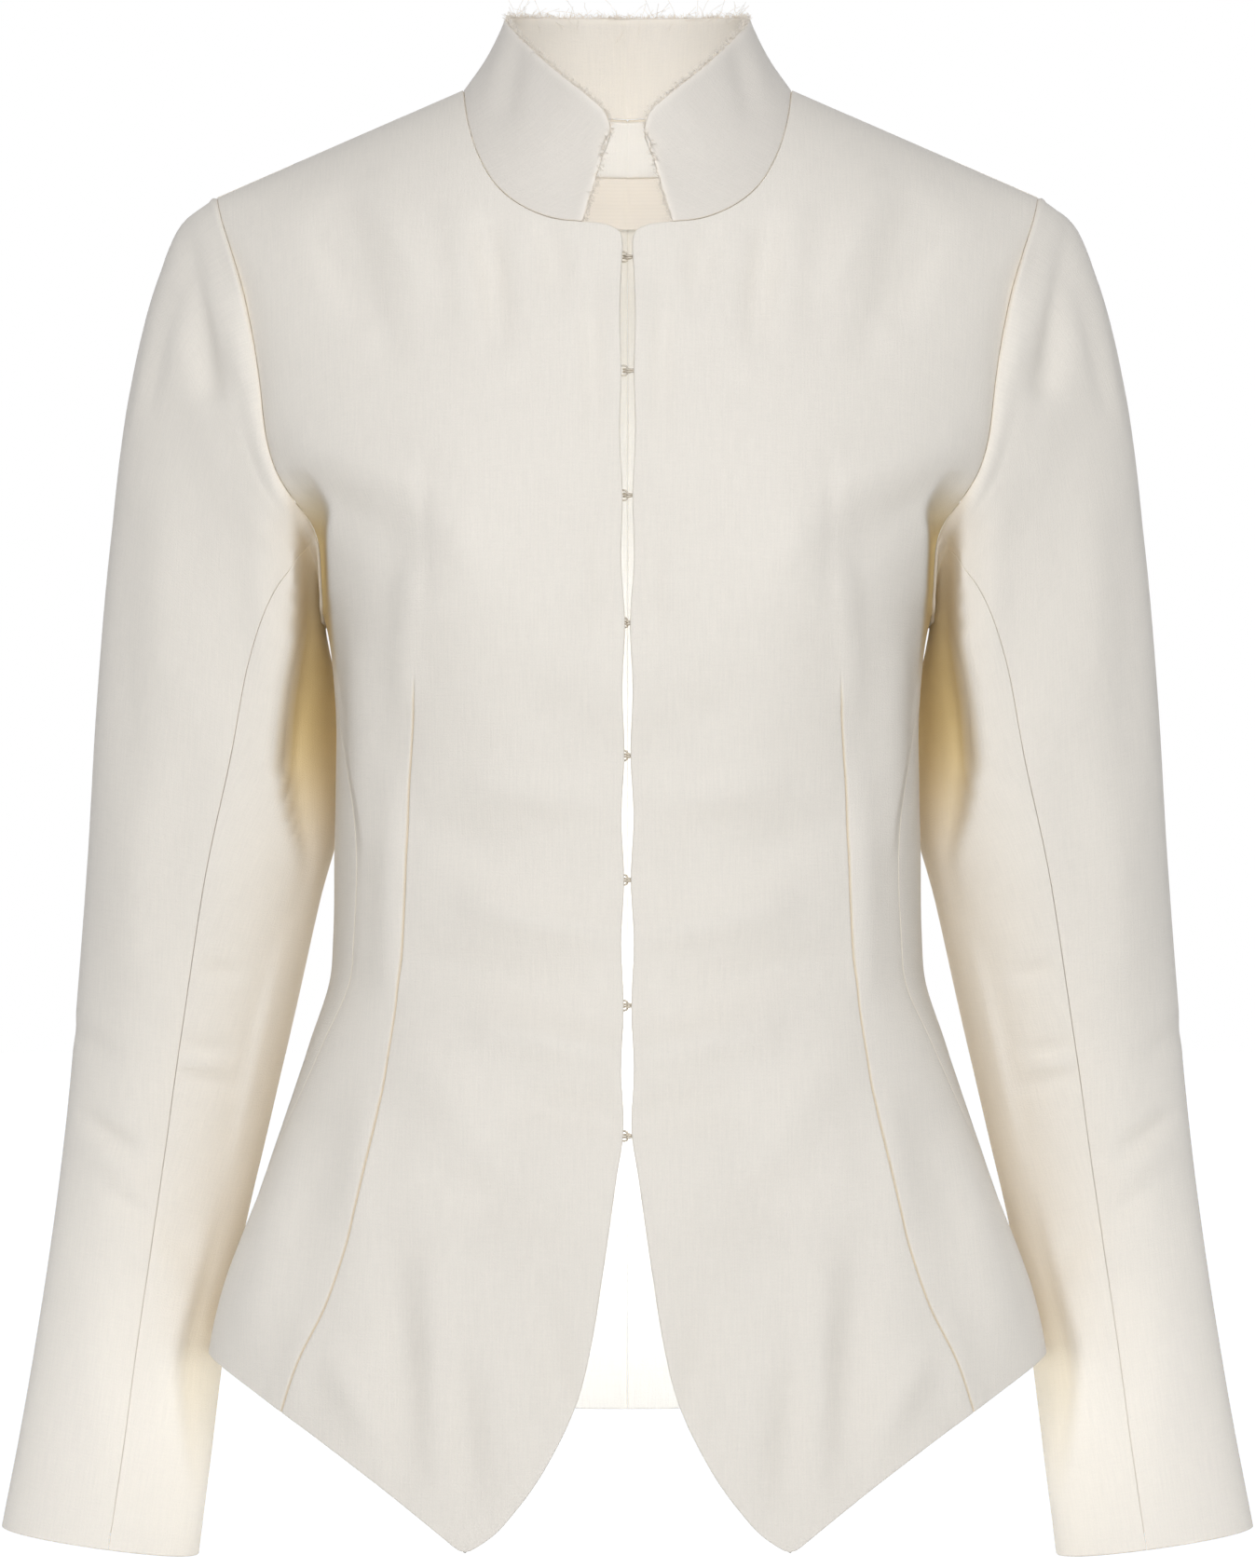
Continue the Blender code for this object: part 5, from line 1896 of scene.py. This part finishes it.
def woven_tape(name, colour):
    """Woven cotton tape of the label: fine ribs run across it, closer and flatter than linen."""

    def ribs(tree):
        place = add_node(tree, "ShaderNodeUVMap", uv_map="cloth").outputs["UV"]
        # A wave texture draws one band in a twentieth of a turn
        scale = 1 / (TAPE_RIB * MM) / 20 * math.pi
        wave = add_node(
            tree, "ShaderNodeTexWave",
            {"Vector": place, "Scale": scale, "Distortion": 0.6, "Detail": 1.0}, bands_direction="Y",
        )
        return wave.outputs["Fac"]

    tones = (toned(colour, 0.98), toned(colour, 1.0))
    return patterned(
        name, ribs, tones, (0.2, 0.1 * MM), {"Roughness": 0.9, "Specular IOR Level": 0.1}
    )


def plated_wire(name, colour):
    """Nickel-plated steel wire, drawn and tumbled: a satin metal with fine handling marks."""

    def marks(tree):
        place = add_node(tree, "ShaderNodeTexCoord").outputs["Object"]
        scale = 1 / (WIRE_MARK * MM)
        noise = add_node(tree, "ShaderNodeTexNoise", {"Vector": place, "Scale": scale, "Detail": 2.0})
        return noise.outputs["Fac"]

    tones = (toned(colour, 0.9), toned(colour, 1.08))
    return patterned(name, marks, tones, (0.15, 0.05 * MM), {"Metallic": 0.55, "Roughness": 0.42})


def matt_floor(name):
    """Matt painted studio floor: pale, rolled paint with a faint unevenness. It glows for the
    camera alone, so that it is as white as the backdrop and lights nothing."""
    material, tree, shader = material_named(name)
    if tree is None:
        return material
    place = add_node(tree, "ShaderNodeTexCoord").outputs["Object"]
    cloud = add_node(
        tree, "ShaderNodeTexNoise", {"Vector": place, "Scale": FLOOR_PATCHES, "Detail": 3.0}
    )
    mixed = add_node(
        tree, "ShaderNodeMix",
        {"Factor": cloud.outputs["Fac"], 6: linear("f2f2f1") + (1.0,), 7: linear("f6f6f5") + (1.0,)},
        data_type="RGBA",
    )
    seen = add_node(tree, "ShaderNodeLightPath")
    glow = add_node(
        tree, "ShaderNodeMath", {0: seen.outputs["Is Camera Ray"], 1: FLOOR_GLOW}, operation="MULTIPLY"
    )
    finish(
        tree, shader, {"Base Color": mixed.outputs[2], "Emission Strength": glow.outputs["Value"]},
        {"Emission Color": (1.0, 1.0, 1.0, 1.0), "Roughness": 0.9},
    )
    return material


# ---------------------------------------------------------------- stage

# The view: height of its centre, height of what it takes in at the neck's depth, and the
# width of the camera's sensor
VIEW_CENTRE = -316.4
VIEW_TALL = 715.3
SENSOR = 36.0
# Half the side of the floor, in metres, and its brightness to the camera beyond the lights
FLOOR_HALF = 25.0
FLOOR_GLOW = 0.98
# Cool daylight, which each bounce between folds warms, and a cooler fill inside the jacket,
# where the light has bounced more often
DAYLIGHT = (0.83, 0.88, 1.0)
FILL = (0.62, 0.75, 1.0)
JACKET_CENTRE = (0.0, 0.0, -0.3)
# Lights: name, the setting that holds its power, size across and up, place, the point that
# it shines at, colour, and the angle by which its beam opens
LIGHTS = (
    ("front_light", "front", (1.7, 1.3), (0.0, -2.9, 0.75), JACKET_CENTRE, DAYLIGHT, 180),
    ("left_light", "sides", (1.0, 2.0), (2.5, 1.3, 0.1), JACKET_CENTRE, DAYLIGHT, 180),
    ("right_light", "sides", (1.0, 2.0), (-2.5, 1.3, 0.1), JACKET_CENTRE, DAYLIGHT, 180),
    ("top_light", "top", (1.6, 1.2), (0.0, -0.2, 1.9), JACKET_CENTRE, DAYLIGHT, 180),
    ("back_light", "back", (2.4, 2.4), (0.0, 2.8, 0.2), JACKET_CENTRE, DAYLIGHT, 180),
    ("left_cuff_light", "cuffs", (0.12, 0.3), (0.62, -1.5, -0.8), (0.3, 0.0, -0.62), DAYLIGHT, 12),
    ("right_cuff_light", "cuffs", (0.12, 0.3), (-0.62, -1.5, -0.8), (-0.3, 0.0, -0.62), DAYLIGHT, 12),
    ("inside_light", "inside", (0.12, 0.46), (0.0, -0.055, -0.36), (0.0, 0.1, -0.36), FILL, 180),
    ("hem_light", "hem", (0.1, 0.14), (0.0, -0.04, -0.53), (0.0, 0.12, -0.55), FILL, 180),
)


def make_floor(stage):
    """A wide, level floor below the jacket."""
    mesh = bpy.data.meshes.new("studio_floor")
    across = FLOOR_HALF * np.array([(-1, -1), (1, -1), (1, 1), (-1, 1)])
    corners = [(x, y, -stage.floor_drop) for x, y in across.tolist()]
    mesh.from_pydata(corners, [], [(0, 1, 2, 3)])
    mesh.materials.append(matt_floor("studio_floor"))
    floor = bpy.data.objects.new("studio_floor", mesh)
    bpy.context.scene.collection.objects.link(floor)


def make_world(stage):
    """Even light from all round, which the camera sees as a white backdrop."""
    world = bpy.data.worlds.new("studio")
    bpy.context.scene.world = world
    world.use_nodes = True
    tree = world.node_tree
    tree.nodes.clear()
    light, backdrop = (
        add_node(tree, "ShaderNodeBackground", {"Color": colour + (1.0,), "Strength": strength})
        for colour, strength in ((DAYLIGHT, stage.around), ((1.0, 1.0, 1.0), 1.0))
    )
    seen = add_node(tree, "ShaderNodeLightPath")
    both = add_node(
        tree, "ShaderNodeMixShader",
        {0: seen.outputs["Is Camera Ray"], 1: light.outputs[0], 2: backdrop.outputs[0]},
    )
    add_node(tree, "ShaderNodeOutputWorld", {"Surface": both.outputs[0]})


def make_light(name, size, power, place, target, colour, beam):
    """A soft rectangular light that shines from a place towards a target."""
    lamp = bpy.data.lights.new(name, "AREA")
    lamp.shape = "RECTANGLE"
    lamp.size, lamp.size_y = size
    lamp.energy = power
    lamp.color = colour
    lamp.spread = math.radians(beam)
    light = bpy.data.objects.new(name, lamp)
    light.location = place
    way = Vector(target) - Vector(place)
    light.rotation_euler = way.to_track_quat("-Z", "Y").to_euler()
    light.visible_camera = False
    bpy.context.scene.collection.objects.link(light)


def make_camera(stage):
    """A level camera in front, which takes in the whole jacket."""
    data = bpy.data.cameras.new("camera")
    data.sensor_width = SENSOR
    data.lens = SENSOR * stage.camera_distance / (VIEW_TALL * MM)
    camera = bpy.data.objects.new("camera", data)
    camera.location = (0.0, -stage.camera_distance, VIEW_CENTRE * MM)
    camera.rotation_euler = (math.pi / 2, 0.0, 0.0)
    bpy.context.scene.collection.objects.link(camera)
    bpy.context.scene.camera = camera
    bpy.context.scene.view_settings.view_transform = "Standard"


def make_stage(stage):
    """Floor, world, lights and camera."""
    make_floor(stage)
    make_world(stage)
    for name, power, size, place, target, colour, beam in LIGHTS:
        make_light(name, size, getattr(stage, power), place, target, colour, beam)
    make_camera(stage)


# ---------------------------------------------------------------- operators and panel


def made(make, context):
    """Makes a piece with the sizes and colours in the sidebar."""
    make(context.scene.jacket_sizes, context.scene.jacket_colours)
    return {"FINISHED"}


class JACKET_OT_stage(bpy.types.Operator):
    """Add the floor, the light and the camera"""

    bl_idname = "jacket.stage"
    bl_label = "Stage"

    def execute(self, context):
        make_stage(context.scene.jacket_stage)
        return {"FINISHED"}


class JACKET_OT_fronts(bpy.types.Operator):
    """Add both fronts"""

    bl_idname = "jacket.fronts"
    bl_label = "Fronts"

    def execute(self, context):
        return made(make_fronts, context)


class JACKET_OT_backs(bpy.types.Operator):
    """Add both backs"""

    bl_idname = "jacket.backs"
    bl_label = "Backs"

    def execute(self, context):
        return made(make_backs, context)


class JACKET_OT_sleeves(bpy.types.Operator):
    """Add the upper and under sleeves"""

    bl_idname = "jacket.sleeves"
    bl_label = "Sleeves"

    def execute(self, context):
        return made(make_sleeves, context)


class JACKET_OT_collar(bpy.types.Operator):
    """Add the stand collar"""

    bl_idname = "jacket.collar"
    bl_label = "Collar"

    def execute(self, context):
        return made(make_collar, context)


class JACKET_OT_facings(bpy.types.Operator):
    """Add the front and neck facings"""

    bl_idname = "jacket.facings"
    bl_label = "Facings"

    def execute(self, context):
        return made(make_facings, context)


class JACKET_OT_label(bpy.types.Operator):
    """Add the bare neck label"""

    bl_idname = "jacket.label"
    bl_label = "Label"

    def execute(self, context):
        return made(make_label, context)


class JACKET_OT_hooks_and_eyes(bpy.types.Operator):
    """Add the hooks and the eyes"""

    bl_idname = "jacket.hooks_and_eyes"
    bl_label = "Hooks and eyes"

    def execute(self, context):
        return made(make_hooks_and_eyes, context)


class JACKET_OT_frayed_threads(bpy.types.Operator):
    """Add the fray on the collar's raw edges"""

    bl_idname = "jacket.frayed_threads"
    bl_label = "Frayed threads"

    def execute(self, context):
        return made(make_frayed_threads, context)


OPERATORS = (
    JACKET_OT_stage,
    JACKET_OT_fronts,
    JACKET_OT_backs,
    JACKET_OT_sleeves,
    JACKET_OT_collar,
    JACKET_OT_facings,
    JACKET_OT_label,
    JACKET_OT_hooks_and_eyes,
    JACKET_OT_frayed_threads,
)
GROUPS = (
    ("jacket_sizes", JacketSizes),
    ("jacket_colours", JacketColours),
    ("jacket_stage", JacketStage),
)


class JACKET_PT_panel(bpy.types.Panel):
    """Settings and pieces of the jacket"""

    bl_idname = "JACKET_PT_panel"
    bl_label = "Linen jacket"
    bl_space_type = "VIEW_3D"
    bl_region_type = "UI"
    bl_category = "Jacket"

    def draw(self, context):
        for label, _ in GROUPS:
            group = getattr(context.scene, label)
            box = self.layout.box()
            for name in group.bl_rna.properties.keys():
                if name not in ("rna_type", "name"):
                    box.prop(group, name)
        for operator in OPERATORS:
            self.layout.operator(operator.bl_idname)


def register():
    for name, group in GROUPS:
        bpy.utils.register_class(group)
        setattr(bpy.types.Scene, name, PointerProperty(type=group))
    for shown in (*OPERATORS, JACKET_PT_panel):
        bpy.utils.register_class(shown)


def unregister():
    for shown in (JACKET_PT_panel, *reversed(OPERATORS)):
        bpy.utils.unregister_class(shown)
    for name, group in reversed(GROUPS):
        delattr(bpy.types.Scene, name)
        bpy.utils.unregister_class(group)


def main():
    register()
    bpy.ops.jacket.stage()
    bpy.ops.jacket.fronts()
    bpy.ops.jacket.backs()
    bpy.ops.jacket.sleeves()
    bpy.ops.jacket.collar()
    bpy.ops.jacket.facings()
    bpy.ops.jacket.label()
    bpy.ops.jacket.hooks_and_eyes()
    bpy.ops.jacket.frayed_threads()


if __name__ == "__main__":
    main()
